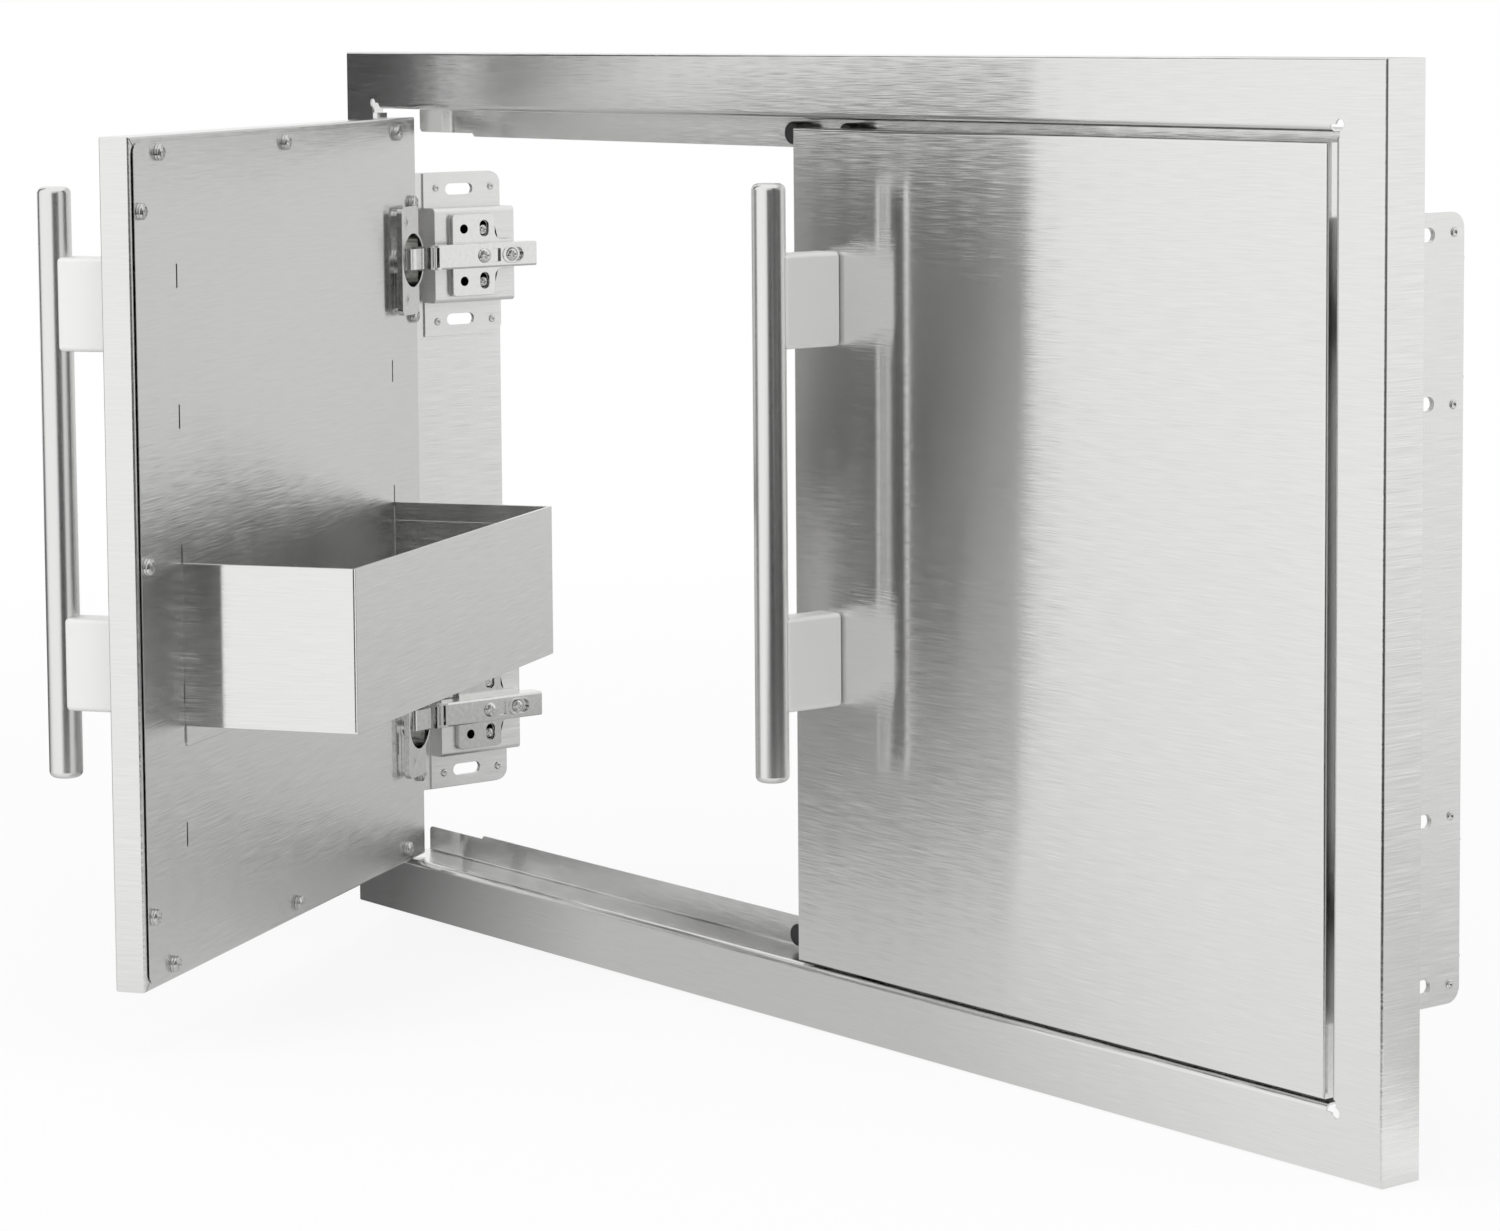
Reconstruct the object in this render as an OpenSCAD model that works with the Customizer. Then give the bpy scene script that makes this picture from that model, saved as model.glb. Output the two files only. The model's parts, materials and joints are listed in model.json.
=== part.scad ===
// Double access door for an outdoor kitchen island, in millimetres.
// X runs across the doors, Y runs back into the island and Z runs up. The origin is the
// centre of the face frame, on the plane of the wall that its rear rim bears on.
// Every module draws with y = 0 on the front face of the frame, and in_wall() moves it back.
// Hinge pieces are drawn for the right-hand side, and mirrored for the left.

/* [Face frame] */
// Overall width of the face frame
frame_w = 864; // [760:1:1000]
// Overall height of the face frame
frame_h = 525; // [480:1:640]
// Width of a side rail, to the clear opening
side_rail = 32.5; // [26:0.5:50]
// Height of the top and bottom rails, to the clear opening
end_rail = 34; // [28:0.5:50]
// Depth of the rim that stands off the wall
return_depth = 26; // [22:0.5:40]
// Thickness of the frame sheet
frame_sheet = 1.2; // [0.8:0.1:2]
// Outside radius of the rim's bend
rim_bend_r = 1.6; // [1.3:0.1:3]
// Outside radius of the bend round the opening
opening_bend_r = 3.5; // [2.5:0.1:5]
// Depth of the short returns at the jambs
jamb_depth = 8; // [6:0.5:14]
// Distance from the face back to the stop lips
stop_depth = 28.3; // [26:0.1:40]
// Height of a stop lip in its middle
lip_h = 16.5; // [13:0.5:24]
// How much lower a stop lip is near its ends
lip_step = 2; // [0:0.5:4]
// Length of the lower stretch at each end of a stop lip
lip_step_len = 58; // [30:1:120]
// Gap between the end of a stop lip and the jamb
lip_end_gap = 5; // [4:0.5:12]
// Corner radius of a stop lip
lip_corner_r = 3; // [1:0.5:5]
// Radius of the relief at each corner of the opening, where the returns stop short of it
relief_r = 2.5; // [1.5:0.1:3]

/* [Side plates] */
// How far a side plate runs past the middles of its hinges
plate_over = 50.5; // [50.5:0.5:90]
// Thickness of a side plate
plate_t = 1.5; // [1:0.1:2.5]
// Distance from the face to a side plate's rear edge
plate_rear = 88.5; // [88:0.5:140]
// Distance from the face to a side plate's front edge
plate_front = 4; // [3.5:0.5:7]
// Radius of a side plate's rear corners
plate_corner_r = 8; // [3:0.5:14]
// Length of a fixing slot
slot_len = 20; // [14:0.5:24]
// Width of a fixing slot
slot_w = 7; // [5:0.5:9]
// Distance from the face to the middle of a fixing slot
slot_y = 58; // [54:0.5:64]
// Height of a fixing slot above or below its hinge
slot_off = 40; // [36:0.5:42]

/* [Doors] */
// Gap above the doors
gap_top = 5; // [3:0.5:8]
// Gap below the doors
gap_bottom = 1.5; // [1:0.5:6]
// Gap between a door and its jamb
gap_side = 4.5; // [3.5:0.5:8]
// Gap between the two doors
gap_centre = 3; // [2:0.5:6]
// Thickness of a door
door_t = 18.5; // [17.5:0.5:19.5]
// Thickness of the outer skin
skin_t = 1; // [0.8:0.1:1.2]
// Thickness of the back panel
panel_t = 1; // [0.8:0.1:1.2]
// Outside radius of the skin's bends
door_bend_r = 1.6; // [1.3:0.1:2.5]
// Width of the skin's rear flange
flange_w = 16; // [14:0.5:20]
// Distance from the door's edge to the edge of its back panel
panel_inset = 3.5; // [2:0.5:5]
// Corner radius of the back panel
panel_corner_r = 6; // [3:0.5:10]
// Angle of the left door at rest
left_open_angle = 56; // [0:1:95]

/* [Slits] */
// Height of a slit in a back panel
slit_len = 13; // [10:0.5:16]
// Width of a slit
slit_w = 1.5; // [1.4:0.1:2]
// Height from one slit to the next
slit_pitch = 75; // [70:1:80]
// Distance from the free edge to the near column of slits
slit_near = 53; // [45:1:70]
// Distance from the hinge edge to the far column of slits
slit_far = 43.5; // [41:0.5:90]

/* [Hinges] */
// Distance from a door's top and bottom edges to the middles of its hinges
hinge_end = 85.25; // [80.25:0.5:120]
// Distance from a door's hinge edge to its turning axis
axis_inset = 5; // [5:0.1:5.3]
// Height that a bracket's platform stands off the side plate
bracket_rise = 13; // [12.5:0.1:13.5]
// Height of a bracket's platform
bracket_h = 58; // [54:1:64]
// Height of a bracket with its flanges
bracket_full_h = 100; // [96:1:101]
// Distance from the face to a bracket's front wall
bracket_front = 31.7; // [31.5:0.1:34]
// Distance from the face to the rear end of a bracket's platform
bracket_rear = 90.5; // [89:0.5:110]
// Thickness of a bracket's sheet
bracket_t = 1.2; // [1:0.1:1.6]
// Length of a wing of the mounting plate, front to back
wing_len = 31.5; // [30:0.5:36]
// Height across both wings of the mounting plate
wing_h = 50; // [48:0.5:52]
// Distance from the face to the front of the wings
wing_front = 42.5; // [41:0.5:44]
// Thickness of the wings
wing_t = 2; // [1.5:0.1:2.2]
// Thickness of the pad under the wings
pad_t = 1.5; // [1:0.1:1.8]
// Height between the screws in the two wings
screw_pitch = 32; // [31:0.5:33]
// Width of a hinge arm
arm_w = 15; // [14.5:0.1:15.5]
// Wall of a hinge arm
arm_wall = 1.5; // [1.2:0.1:1.7]
// Distance from the side plate to the face of a hinge arm
arm_face = 28; // [27.6:0.1:28.2]
// Distance from the face to the front of a hinge arm
arm_front = 25; // [24.8:0.1:26]
// Distance from the face to the rear end of a hinge arm
arm_rear = 97; // [94:0.5:112]
// Diameter of the pins in the hinges
hinge_pin_d = 2.4; // [2:0.1:2.5]

/* [Hinge cups] */
// Outer diameter of a cup
cup_d = 35; // [34.8:0.1:35.2]
// Wall of a cup
cup_wall = 1.5; // [1.3:0.1:1.6]
// Distance from the door's hinge edge to the middle of a cup
cup_inset = 22.5; // [22.2:0.1:22.7]
// Distance from the door's face to the bottom of a cup
cup_bottom = 7; // [6:0.1:7.2]
// Height of a cup's flange above the back panel
cup_rise = 6; // [5.5:0.1:6.2]
// Thickness of a cup's flange
cup_flange_t = 3.5; // [3:0.1:4]
// Height of a cup's flange
cup_flange_h = 65; // [62:0.5:68]
// Distance from the hinge edge to the near side of a cup's flange
cup_flange_near = 14; // [13.7:0.1:14.5]
// Distance from the hinge edge to the far side of a cup's flange
cup_flange_far = 40; // [39.8:0.1:40.5]
// Distance from the hinge edge to the screws of a cup
cup_screw_inset = 32; // [30:0.5:34]
// Height between the two screws of a cup
cup_screw_pitch = 46; // [44:0.5:50]

/* [Handles] */
// Diameter of a handle bar
bar_d = 18; // [14:0.5:22]
// Length of a handle bar
bar_len = 316; // [280:1:360]
// Radius round the ends of a handle bar
bar_end_r = 3.5; // [1:0.5:6]
// Distance from the free edge to the axis of a handle bar
bar_inset = 32; // [28:0.5:42]
// Distance from the door's face to the axis of a handle bar
bar_standoff = 42; // [38:0.5:52]
// Height of the middle of a handle bar above the middle of the door
bar_lift = 40; // [0:1:50]
// Height between the middles of the two posts
post_pitch = 192; // [170:1:210]
// Height of a post
post_h = 50; // [40:0.5:60]
// Width of a post across the door
post_w = 16.5; // [14:0.5:18]
// Distance from the bar's axis to the end of a post
post_short = 4.3; // [3.5:0.1:5]
// Radius of a post's corners, seen from the side
post_corner_r = 4; // [2:0.5:6]
// Radius of a post's top and bottom edges
post_edge_r = 3; // [1:0.5:4]

/* [Tray] */
// Depth of the tray off the back panel
tray_d = 100; // [70:1:105]
// Height of the tray
tray_h = 88; // [76:1:95]
// Thickness of the tray's sheet
tray_t = 1; // [0.8:0.1:1.2]
// Height of the folded hem along the tray's rim
hem_h = 11; // [8:0.5:14]
// Height of the flange under the back of the tray
tray_flange_h = 11; // [8:0.5:14]
// How far the tray's rim lies below the middle of the door
tray_drop = 3.5; // [3:0.5:5]

/* [Bumpers] */
// Diameter of a rubber bumper
bumper_d = 12.4; // [10:0.2:12.6]
// Distance from the middle of the frame to a bumper
bumper_x = 23; // [14:0.5:23]
// Height from the clear opening to the middle of a bumper
bumper_off = 8.5; // [8:0.5:9]

/* [Fasteners] */
// Head diameter of a back panel screw
panel_screw_head_d = 9; // [8:0.5:9.5]
// Head height of a back panel screw with its washer
panel_screw_head_h = 4; // [3:0.5:5]
// Shank diameter of a back panel screw
panel_screw_d = 4; // [3:0.5:4]
// Distance from the top and bottom edges to the screws there
end_row = 9; // [8:0.5:11]
// Distance from a door's sides to the outer screws of its top and bottom rows
end_row_side = 32.5; // [32.5:0.5:45]
// Distance from the free edge to the screws there
free_row = 9.5; // [9:0.5:11]
// Distance from the hinge edge to the screws there
hinge_row = 10; // [9:0.5:11]
// Head diameter of a mounting plate screw
plate_screw_head_d = 6; // [5:0.1:6.2]
// Head diameter of the front screw of a hinge arm
arm_screw_head_d = 9; // [8:0.1:9.5]
// Head diameter of the rear screw of a hinge arm
clamp_screw_head_d = 8; // [7:0.1:8]
// Head diameter of a cup screw
cup_screw_head_d = 7.5; // [7:0.1:8]
// Diameter of a handle screw
handle_screw_d = 6; // [5:0.5:6]
// Head diameter of a bracket rivet
rivet_d = 4.6; // [4:0.1:5]

/* [Hidden] */
$fn = 64;

LEFT = -1;
RIGHT = 1;
UPPER = 1;
LOWER = -1;
SIDES = [LEFT, RIGHT];
LEVELS = [LOWER, UPPER];

// Overrun of every cut, and the play round a fastener or between loose pieces
cut = 2;
play = 0.1;
gap = 0.3;

steel = [0.78, 0.78, 0.79];
bright_steel = [0.86, 0.86, 0.87];
nickel = [0.70, 0.70, 0.69];
rubber = [0.06, 0.06, 0.06];

// The clear opening and the doors in it
open_w = frame_w - 2 * side_rail;
open_h = frame_h - 2 * end_rail;
door_w = open_w / 2 - gap_side - gap_centre / 2;
door_h = open_h - gap_top - gap_bottom;
door_z = (gap_bottom - gap_top) / 2;
door_edge_x = open_w / 2 - gap_side;
free_edge_x = gap_centre / 2;
axis_x = door_edge_x - axis_inset;

// The side plates lie on the inner faces of the jambs
plate_in = open_w / 2 - plate_t;
hinge_spacing = door_h - 2 * hinge_end;
plate_h = hinge_spacing + 2 * plate_over;
// Inboard distance of the turning axis from the side plate
axis_u = plate_in - axis_x;

// Heights of the layers on a side plate, inboard of it
wing_u = bracket_rise + pad_t;
arm_u = wing_u + wing_t;
arm_inner = arm_w / 2 - arm_wall;
rail_top = arm_face - arm_wall - play;

// Radii and angles of the curved hinge pieces about the turning axis, measured from the
// axis straight back towards the middle of the door
swan_r1 = 26;
swan_t = 3;
swan_start_angle = 28;
swan_end_angle = 57;
swan_w = 13.6;
knuckle_turn_r = 28.2;
knuckle_angle = 37;
knuckle_r = 2.4;
link_turn_r = 23;
link_t = 3.2;
link_knuckle_r = 2.3;
link_start_angle = 32;
link_end_angle = 60;
link_tuck_angle = 3.6;
link_w = 12.4;
notch_w = 14.4;
notch_reach = cup_flange_near - axis_inset;

// Mounting plate: its holes, its slots and the neck behind its wings
wing_hole_d = 5.5;
wing_hole_back = 8.5;
wing_hole_y = wing_front + wing_hole_back;
wing_slot_w = 6.5;
wing_slot_len = 10;
wing_slot_back = 23.5;
wing_slot_y = wing_front + wing_slot_back;
wing_corner_r = 2.5;
pad_inset = 0.5;
neck_h = 18;
neck_inset = 3;
neck_rear = bracket_rear - neck_inset;
neck_fillet_r = 5;
rail_w = 2 * arm_inner - 2 * gap;
rail_back = 6;
rail_front = wing_front + rail_back;
plate_screw_d = 4;
plate_screw_head_h = 1.6;
plate_screw_len = 9;
// How far the screws sit below the middle of their slots
plate_drop = 0.8;

// Hinge arm: its screws and the window between them
adjust_y = 58;
window_y = 65;
window_len = 5;
window_h = 8;
clamp_y = 79.5;
clamp_slot_len = 14.4;
clamp_slot_w = 8.4;
clamp_rim_w = 0.8;
clamp_rim_h = 0.5;
arm_corner_r = 1.4;
arm_screw_d = 4.5;
arm_screw_head_h = 1.8;
adjust_depth = 9;
clamp_depth = 6;

// Bracket: bends, corners and rivets
bracket_bend_r = 2.6;
bracket_corner_r = 7;
rivet_y_front = 41;
rivet_y_rear = 81.5;
rivet_z = 41;
rivet_shank_d = 3;
rivet_head_h = 0.7;

// Door: where the skin's rear flange lies and where the back panel's screws sit
skin_d = door_t - panel_t;
free_row_end = 39;
hinge_row_gap = 1.5;
panel_screw_len = 9;
washer_h = 1;

// Screw recesses
recess_w_share = 0.14;
recess_len_share = 0.62;
recess_depth_share = 0.45;

// Handle screws
handle_head_d = 10;
handle_head_h = 3;
handle_thread = 5;

// Cup: its floor, corners and screws
cup_floor = 1;
cup_screw_d = 3.6;
cup_screw_len = 12;
cup_corner_r = 4;
cup_flange_inset = 1.5;
cup_bore_play = 0.2;

// Tray
tray_seam = 0.4;
tray_corner_r = 2.5;
hook_h = slit_len / 2 - tray_drop - play;
hook_reach = panel_t + 2 * gap;
hook_len = 6;
hook_t = 1;
tray_top = door_z - tray_drop;
hook_rows = [0, -1];
slit_rows = [-2, -1, 0, 1, 2];

// Stop lip bend and bumpers
lip_bend_r = 2.5;
bumper_end_r = 1.6;
bumper_stem_d = 5;
bumper_barb_d = 7;
bumper_barb_h = 2.4;

// Flat shapes

module rounded_rect(w, h, r) {
    square([w - 2 * r, h], center = true);
    square([w, h - 2 * r], center = true);
    for (i = [-1, 1], j = [-1, 1])
        translate([i * (w / 2 - r), j * (h / 2 - r)]) circle(r);
}

module slot_shape(len, w) {
    square([len - w, w], center = true);
    for (i = [-1, 1]) translate([i * (len - w) / 2, 0]) circle(d = w);
}

// A quarter of a bent sheet, from +x round to +y
module bend_shape(r, t) {
    intersection() {
        difference() {
            circle(r);
            circle(r - t);
        }
        square(r);
    }
}

// The concave corner between two edges, from +x round to +y
module fillet_shape(r) {
    difference() {
        square(r);
        translate([r, r]) circle(r);
    }
}

// Extrusions: a shape drawn in (y, z), (x, z) or (x, y)

module along_x(len) {
    rotate([90, 0, 90]) linear_extrude(len) children();
}

module along_y(len) {
    translate([0, len, 0]) rotate([90, 0, 0]) linear_extrude(len) children();
}

module along_z(len) {
    translate([0, 0, -len / 2]) linear_extrude(len) children();
}

// A block centred in x and z, from y = 0 back, with the edges of both bends rounded
module folded_block(w, h, d, r) {
    intersection() {
        along_z(h) translate([0, d / 2]) rounded_rect(w, d, r);
        translate([-w / 2, 0, 0]) along_x(w) translate([d / 2, 0]) rounded_rect(d, h, r);
    }
}

// A part of a ring about z, between two angles measured from +y towards +x
module ring_sector(r1, r2, start, end, w) {
    translate([0, 0, -w / 2])
        rotate([0, 0, 90 - end])
            rotate_extrude(angle = end - start) translate([r1, 0]) square([r2 - r1, w]);
}

// A cross recess, cut down from z = 0
module cross_recess(d) {
    depth = d * recess_depth_share / 2;
    for (a = [0, 90])
        rotate([0, 0, a])
            translate([-d * recess_len_share / 2, -d * recess_w_share / 2, -depth])
                cube([d * recess_len_share, d * recess_w_share, depth + cut]);
}

// A domed head on z = 0 with its cross, and a shank below
module pan_screw(head_d, head_h, shank_d, len) {
    edge_h = head_h / 3;
    difference() {
        union() {
            cylinder(d = head_d, h = edge_h);
            translate([0, 0, edge_h])
                cylinder(d1 = head_d, d2 = head_d * recess_len_share, h = head_h - edge_h);
        }
        translate([0, 0, head_h]) cross_recess(head_d);
    }
    translate([0, 0, -len]) cylinder(d = shank_d, h = len);
}

// A countersunk head flush with z = 0, and its shank
module countersunk_screw(head_d, shank_d, len) {
    head_h = (head_d - shank_d) / 2;
    difference() {
        union() {
            translate([0, 0, -head_h]) cylinder(d1 = shank_d, d2 = head_d, h = head_h);
            translate([0, 0, -len]) cylinder(d = shank_d, h = len);
        }
        cross_recess(head_d);
    }
}

// Places

module in_wall() {
    translate([0, -return_depth, 0]) children();
}

module for_side(side) {
    if (side == LEFT) mirror([1, 0, 0]) children();
    else children();
}

// Closed door to open door, about the turning axis
module swung(side, share) {
    angle = side == LEFT ? left_open_angle * share : 0;
    translate([axis_x, 0, 0]) rotate([0, 0, angle]) translate([-axis_x, 0, 0]) children();
}

module on_door(side) {
    in_wall() for_side(side) swung(side, 1) children();
}

// On a side plate: x runs inboard from the plate, z is zero at the hinge
module on_plate(side, level) {
    in_wall() for_side(side)
        translate([plate_in, 0, door_z + level * hinge_spacing / 2]) mirror([1, 0, 0]) children();
}

// At the turning axis of a door: x runs towards its free edge, z is zero at the hinge
module on_axis(level) {
    translate([axis_x, 0, door_z + level * hinge_spacing / 2]) mirror([1, 0, 0]) children();
}

// At the handle: x runs across the door from the bar's axis, z is zero at the bar's middle
module on_handle(side) {
    on_door(side) translate([free_edge_x + bar_inset, 0, door_z + bar_lift]) children();
}

// Face frame

// One rail's inward return: drawn for the head, and mirrored for the sill
module stop_rail() {
    lip_len = open_w - 2 * lip_end_gap;
    lip_y = stop_depth + frame_sheet;
    lip_root = open_h / 2 + frame_sheet - lip_bend_r;
    rail_len = open_w - 2 * relief_r;
    translate([-rail_len / 2, 0, 0]) along_x(rail_len) {
        translate([opening_bend_r, open_h / 2 + opening_bend_r])
            rotate(180) bend_shape(opening_bend_r, frame_sheet);
        translate([opening_bend_r, open_h / 2])
            square([lip_y - lip_bend_r - opening_bend_r, frame_sheet]);
        translate([0, open_h / 2 + opening_bend_r]) square(frame_sheet);
    }
    translate([-lip_len / 2, 0, 0]) along_x(lip_len)
        translate([lip_y - lip_bend_r, lip_root]) bend_shape(lip_bend_r, frame_sheet);
    difference() {
        translate([0, stop_depth, 0]) along_y(frame_sheet) stop_lip_shape(lip_len, lip_root);
        for (i = [-1, 1]) translate([i * bumper_x, 0, open_h / 2 - bumper_off])
            along_y(stop_depth + cut) circle(d = bumper_stem_d + play);
    }
}

module stop_lip_shape(len, root) {
    low = open_h / 2 - lip_h;
    low_end = low + lip_step;
    mid = len / 2 - lip_step_len;
    polygon([
        [-mid - lip_step, low_end], [-mid, low], [mid, low], [mid + lip_step, low_end],
        [mid + lip_step, root], [-mid - lip_step, root]
    ]);
    translate([-len / 2, low_end + lip_corner_r]) square([len, root - low_end - lip_corner_r]);
    translate([-len / 2 + lip_corner_r, low_end])
        square([len - 2 * lip_corner_r, root - low_end]);
    for (i = [-1, 1])
        translate([i * (len / 2 - lip_corner_r), low_end + lip_corner_r]) circle(lip_corner_r);
}

module jamb_return() {
    along_z(open_h - 2 * relief_r) {
        translate([open_w / 2 + opening_bend_r, opening_bend_r])
            rotate(180) bend_shape(opening_bend_r, frame_sheet);
        translate([open_w / 2, opening_bend_r]) square([frame_sheet, jamb_depth - opening_bend_r]);
        translate([open_w / 2 + opening_bend_r, 0]) square(frame_sheet);
    }
}

module rim_shape(w, d) {
    translate([-w / 2, rim_bend_r]) square([w, d - rim_bend_r]);
    translate([-w / 2 + rim_bend_r, 0]) square([w - 2 * rim_bend_r, d]);
    for (i = [-1, 1]) translate([i * (w / 2 - rim_bend_r), rim_bend_r]) circle(rim_bend_r);
}

module face_frame() {
    cut_w = open_w + 2 * opening_bend_r;
    cut_h = open_h + 2 * opening_bend_r;
    color(bright_steel) in_wall() {
        difference() {
            intersection() {
                along_z(frame_h) rim_shape(frame_w, return_depth);
                translate([-frame_w / 2, 0, 0]) along_x(frame_w)
                    rotate(-90) mirror([1, 0]) rim_shape(frame_h, return_depth);
            }
            translate([-frame_w / 2 + frame_sheet, frame_sheet, -frame_h / 2 + frame_sheet])
                cube([frame_w - 2 * frame_sheet, return_depth, frame_h - 2 * frame_sheet]);
            translate([-cut_w / 2, -cut, -cut_h / 2]) cube([cut_w, 2 * cut + frame_sheet, cut_h]);
            for (i = [-1, 1], j = [-1, 1])
                translate([i * cut_w / 2, -cut, j * cut_h / 2])
                    along_y(2 * cut + frame_sheet) circle(relief_r);
        }
        for (side = SIDES) for_side(side) jamb_return();
        stop_rail();
        mirror([0, 0, 1]) stop_rail();
    }
}

// Side plates, brackets and what holds them

module rivet_places() {
    for (y = [rivet_y_front, rivet_y_rear], j = [-1, 1]) translate([0, y, j * rivet_z]) children();
}

module slot_places() {
    for (j = [-1, 1]) translate([slot_y, j * slot_off]) children();
}

module side_plate(side) {
    color(steel) in_wall() for_side(side) translate([plate_in, 0, door_z]) along_x(plate_t)
        difference() {
            union() {
                translate([plate_front, -plate_h / 2])
                    square([plate_rear - plate_corner_r - plate_front, plate_h]);
                translate([plate_front, -plate_h / 2 + plate_corner_r])
                    square([plate_rear - plate_front, plate_h - 2 * plate_corner_r]);
                for (j = [-1, 1])
                    translate([plate_rear - plate_corner_r, j * (plate_h / 2 - plate_corner_r)])
                        circle(plate_corner_r);
            }
            for (level = LEVELS) translate([0, level * hinge_spacing / 2]) {
                slot_places() slot_shape(slot_len, slot_w);
                for (y = [rivet_y_front, rivet_y_rear], j = [-1, 1])
                    translate([y, j * rivet_z]) circle(d = rivet_shank_d + play);
            }
        }
}

// Half of a hat section without its flange, drawn in (x, z)
module hat_shape(rise, half, r) {
    translate([0, -half]) square([rise - r, 2 * half]);
    translate([0, -half + r]) square([rise, 2 * half - 2 * r]);
    for (j = [-1, 1]) translate([rise - r, j * (half - r)]) circle(r);
}

module bracket_flange() {
    inner = bracket_h / 2 - bracket_t;
    height = bracket_full_h / 2 - inner;
    difference() {
        union() {
            translate([bracket_front, inner])
                square([plate_rear - bracket_corner_r - bracket_front, height]);
            translate([bracket_front, inner])
                square([plate_rear - bracket_front, height - bracket_corner_r]);
            translate([plate_rear - bracket_corner_r, bracket_full_h / 2 - bracket_corner_r])
                circle(bracket_corner_r);
        }
        translate([slot_y, slot_off]) slot_shape(slot_len, slot_w);
        for (y = [rivet_y_front, rivet_y_rear])
            translate([y, rivet_z]) circle(d = rivet_shank_d + play);
    }
}

module hinge_bracket(side, level) {
    len = bracket_rear - bracket_front;
    color(steel) on_plate(side, level) {
        difference() {
            translate([0, bracket_front, 0]) along_y(len)
                hat_shape(bracket_rise, bracket_h / 2, bracket_bend_r);
            translate([-cut, bracket_front + bracket_t, 0]) along_y(len)
                hat_shape(bracket_rise - bracket_t + cut, bracket_h / 2 - bracket_t,
                          bracket_bend_r - bracket_t);
            for (j = [-1, 1]) {
                translate([0, wing_slot_y, j * screw_pitch / 2 - plate_drop]) rotate([0, 90, 0])
                    cylinder(d = plate_screw_d + play, h = bracket_rise + cut);
                translate([0, wing_hole_y, j * screw_pitch / 2]) rotate([0, 90, 0])
                    cylinder(d = wing_hole_d, h = bracket_rise + cut);
            }
        }
        along_x(bracket_t) bracket_flange();
        along_x(bracket_t) mirror([0, 1]) bracket_flange();
    }
}

module bracket_rivets() {
    depth = plate_t + bracket_t;
    color(nickel) for (side = SIDES, level = LEVELS) on_plate(side, level)
        rivet_places() translate([bracket_t, 0, 0]) rotate([0, 90, 0]) {
            cylinder(d1 = rivet_d, d2 = rivet_shank_d, h = rivet_head_h);
            translate([0, 0, -depth]) cylinder(d = rivet_shank_d, h = depth);
            translate([0, 0, -depth - rivet_head_h])
                cylinder(d1 = rivet_shank_d, d2 = rivet_d, h = rivet_head_h);
        }
}

// Mounting plates

// The pad is the wings' outline drawn in by its inset. Its slots are narrower than those of
// the wings, so that the screws' heads clamp it from inside the wings' slots.
module wing_shape(inset, slot) {
    half = wing_h / 2 - inset;
    rear = wing_front + wing_len - inset;
    difference() {
        union() {
            translate([wing_front + wing_len / 2, 0])
                rounded_rect(wing_len - 2 * inset, 2 * half, wing_corner_r);
            translate([rear - wing_corner_r, -neck_h / 2 + inset])
                square([neck_rear - rear + wing_corner_r, neck_h - 2 * inset]);
            for (j = [0, 1]) mirror([0, j])
                translate([rear, neck_h / 2 - inset]) fillet_shape(neck_fillet_r);
        }
        for (j = [-1, 1]) {
            translate([wing_hole_y, j * screw_pitch / 2]) circle(d = wing_hole_d);
            translate([wing_slot_y, j * screw_pitch / 2])
                rotate(90) slot_shape(wing_slot_len - wing_slot_w + slot, slot);
        }
    }
}

module mounting_plate(side, level) {
    color(nickel) on_plate(side, level) {
        translate([bracket_rise, 0, 0]) along_x(pad_t) wing_shape(pad_inset, plate_screw_d + play);
        translate([wing_u, 0, 0]) along_x(wing_t) wing_shape(0, wing_slot_w);
        difference() {
            translate([arm_u, rail_front, -rail_w / 2])
                cube([rail_top - arm_u, neck_rear - rail_front, rail_w]);
            translate([rail_top - adjust_depth + arm_screw_head_h, adjust_y, 0])
                rotate([0, 90, 0]) cylinder(d = arm_screw_d + play, h = adjust_depth);
            translate([rail_top - clamp_depth - arm_screw_head_h, clamp_y, 0])
                rotate([0, 90, 0]) cylinder(d = arm_screw_d + play, h = clamp_depth + cut * 2);
        }
    }
}

module mounting_plate_screws() {
    color(nickel) for (side = SIDES, level = LEVELS, j = [-1, 1]) on_plate(side, level)
        translate([wing_u, wing_slot_y, j * screw_pitch / 2 - plate_drop]) rotate([0, 90, 0])
            pan_screw(plate_screw_head_d, plate_screw_head_h, plate_screw_d - play,
                      plate_screw_len);
}

// Hinge arms

module turned_to(radius, angle) {
    translate([axis_u + radius * sin(angle), radius * cos(angle), 0]) children();
}

// The front end of an arm's cheek, drawn out to the knuckle
module cheek() {
    knuckle_u = axis_u + knuckle_turn_r * sin(knuckle_angle);
    knuckle_y = knuckle_turn_r * cos(knuckle_angle);
    along_z(arm_wall) {
        translate([knuckle_u, knuckle_y]) circle(knuckle_r);
        polygon([
            [knuckle_u + knuckle_r, knuckle_y], [arm_face, arm_front],
            [arm_face, arm_front + arm_wall], [arm_u + arm_wall, arm_front + arm_wall],
            [arm_u + arm_wall, arm_front], [knuckle_u - knuckle_r, knuckle_y]
        ]);
    }
}

module arm_channel() {
    len = arm_rear - arm_front;
    translate([arm_u, arm_front, 0]) difference() {
        along_y(len) hat_shape(arm_face - arm_u, arm_w / 2, arm_corner_r);
        translate([-cut, -cut, 0]) along_y(len + 2 * cut)
            translate([0, -arm_inner]) square([arm_face - arm_u - arm_wall + cut, 2 * arm_inner]);
    }
}

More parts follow.
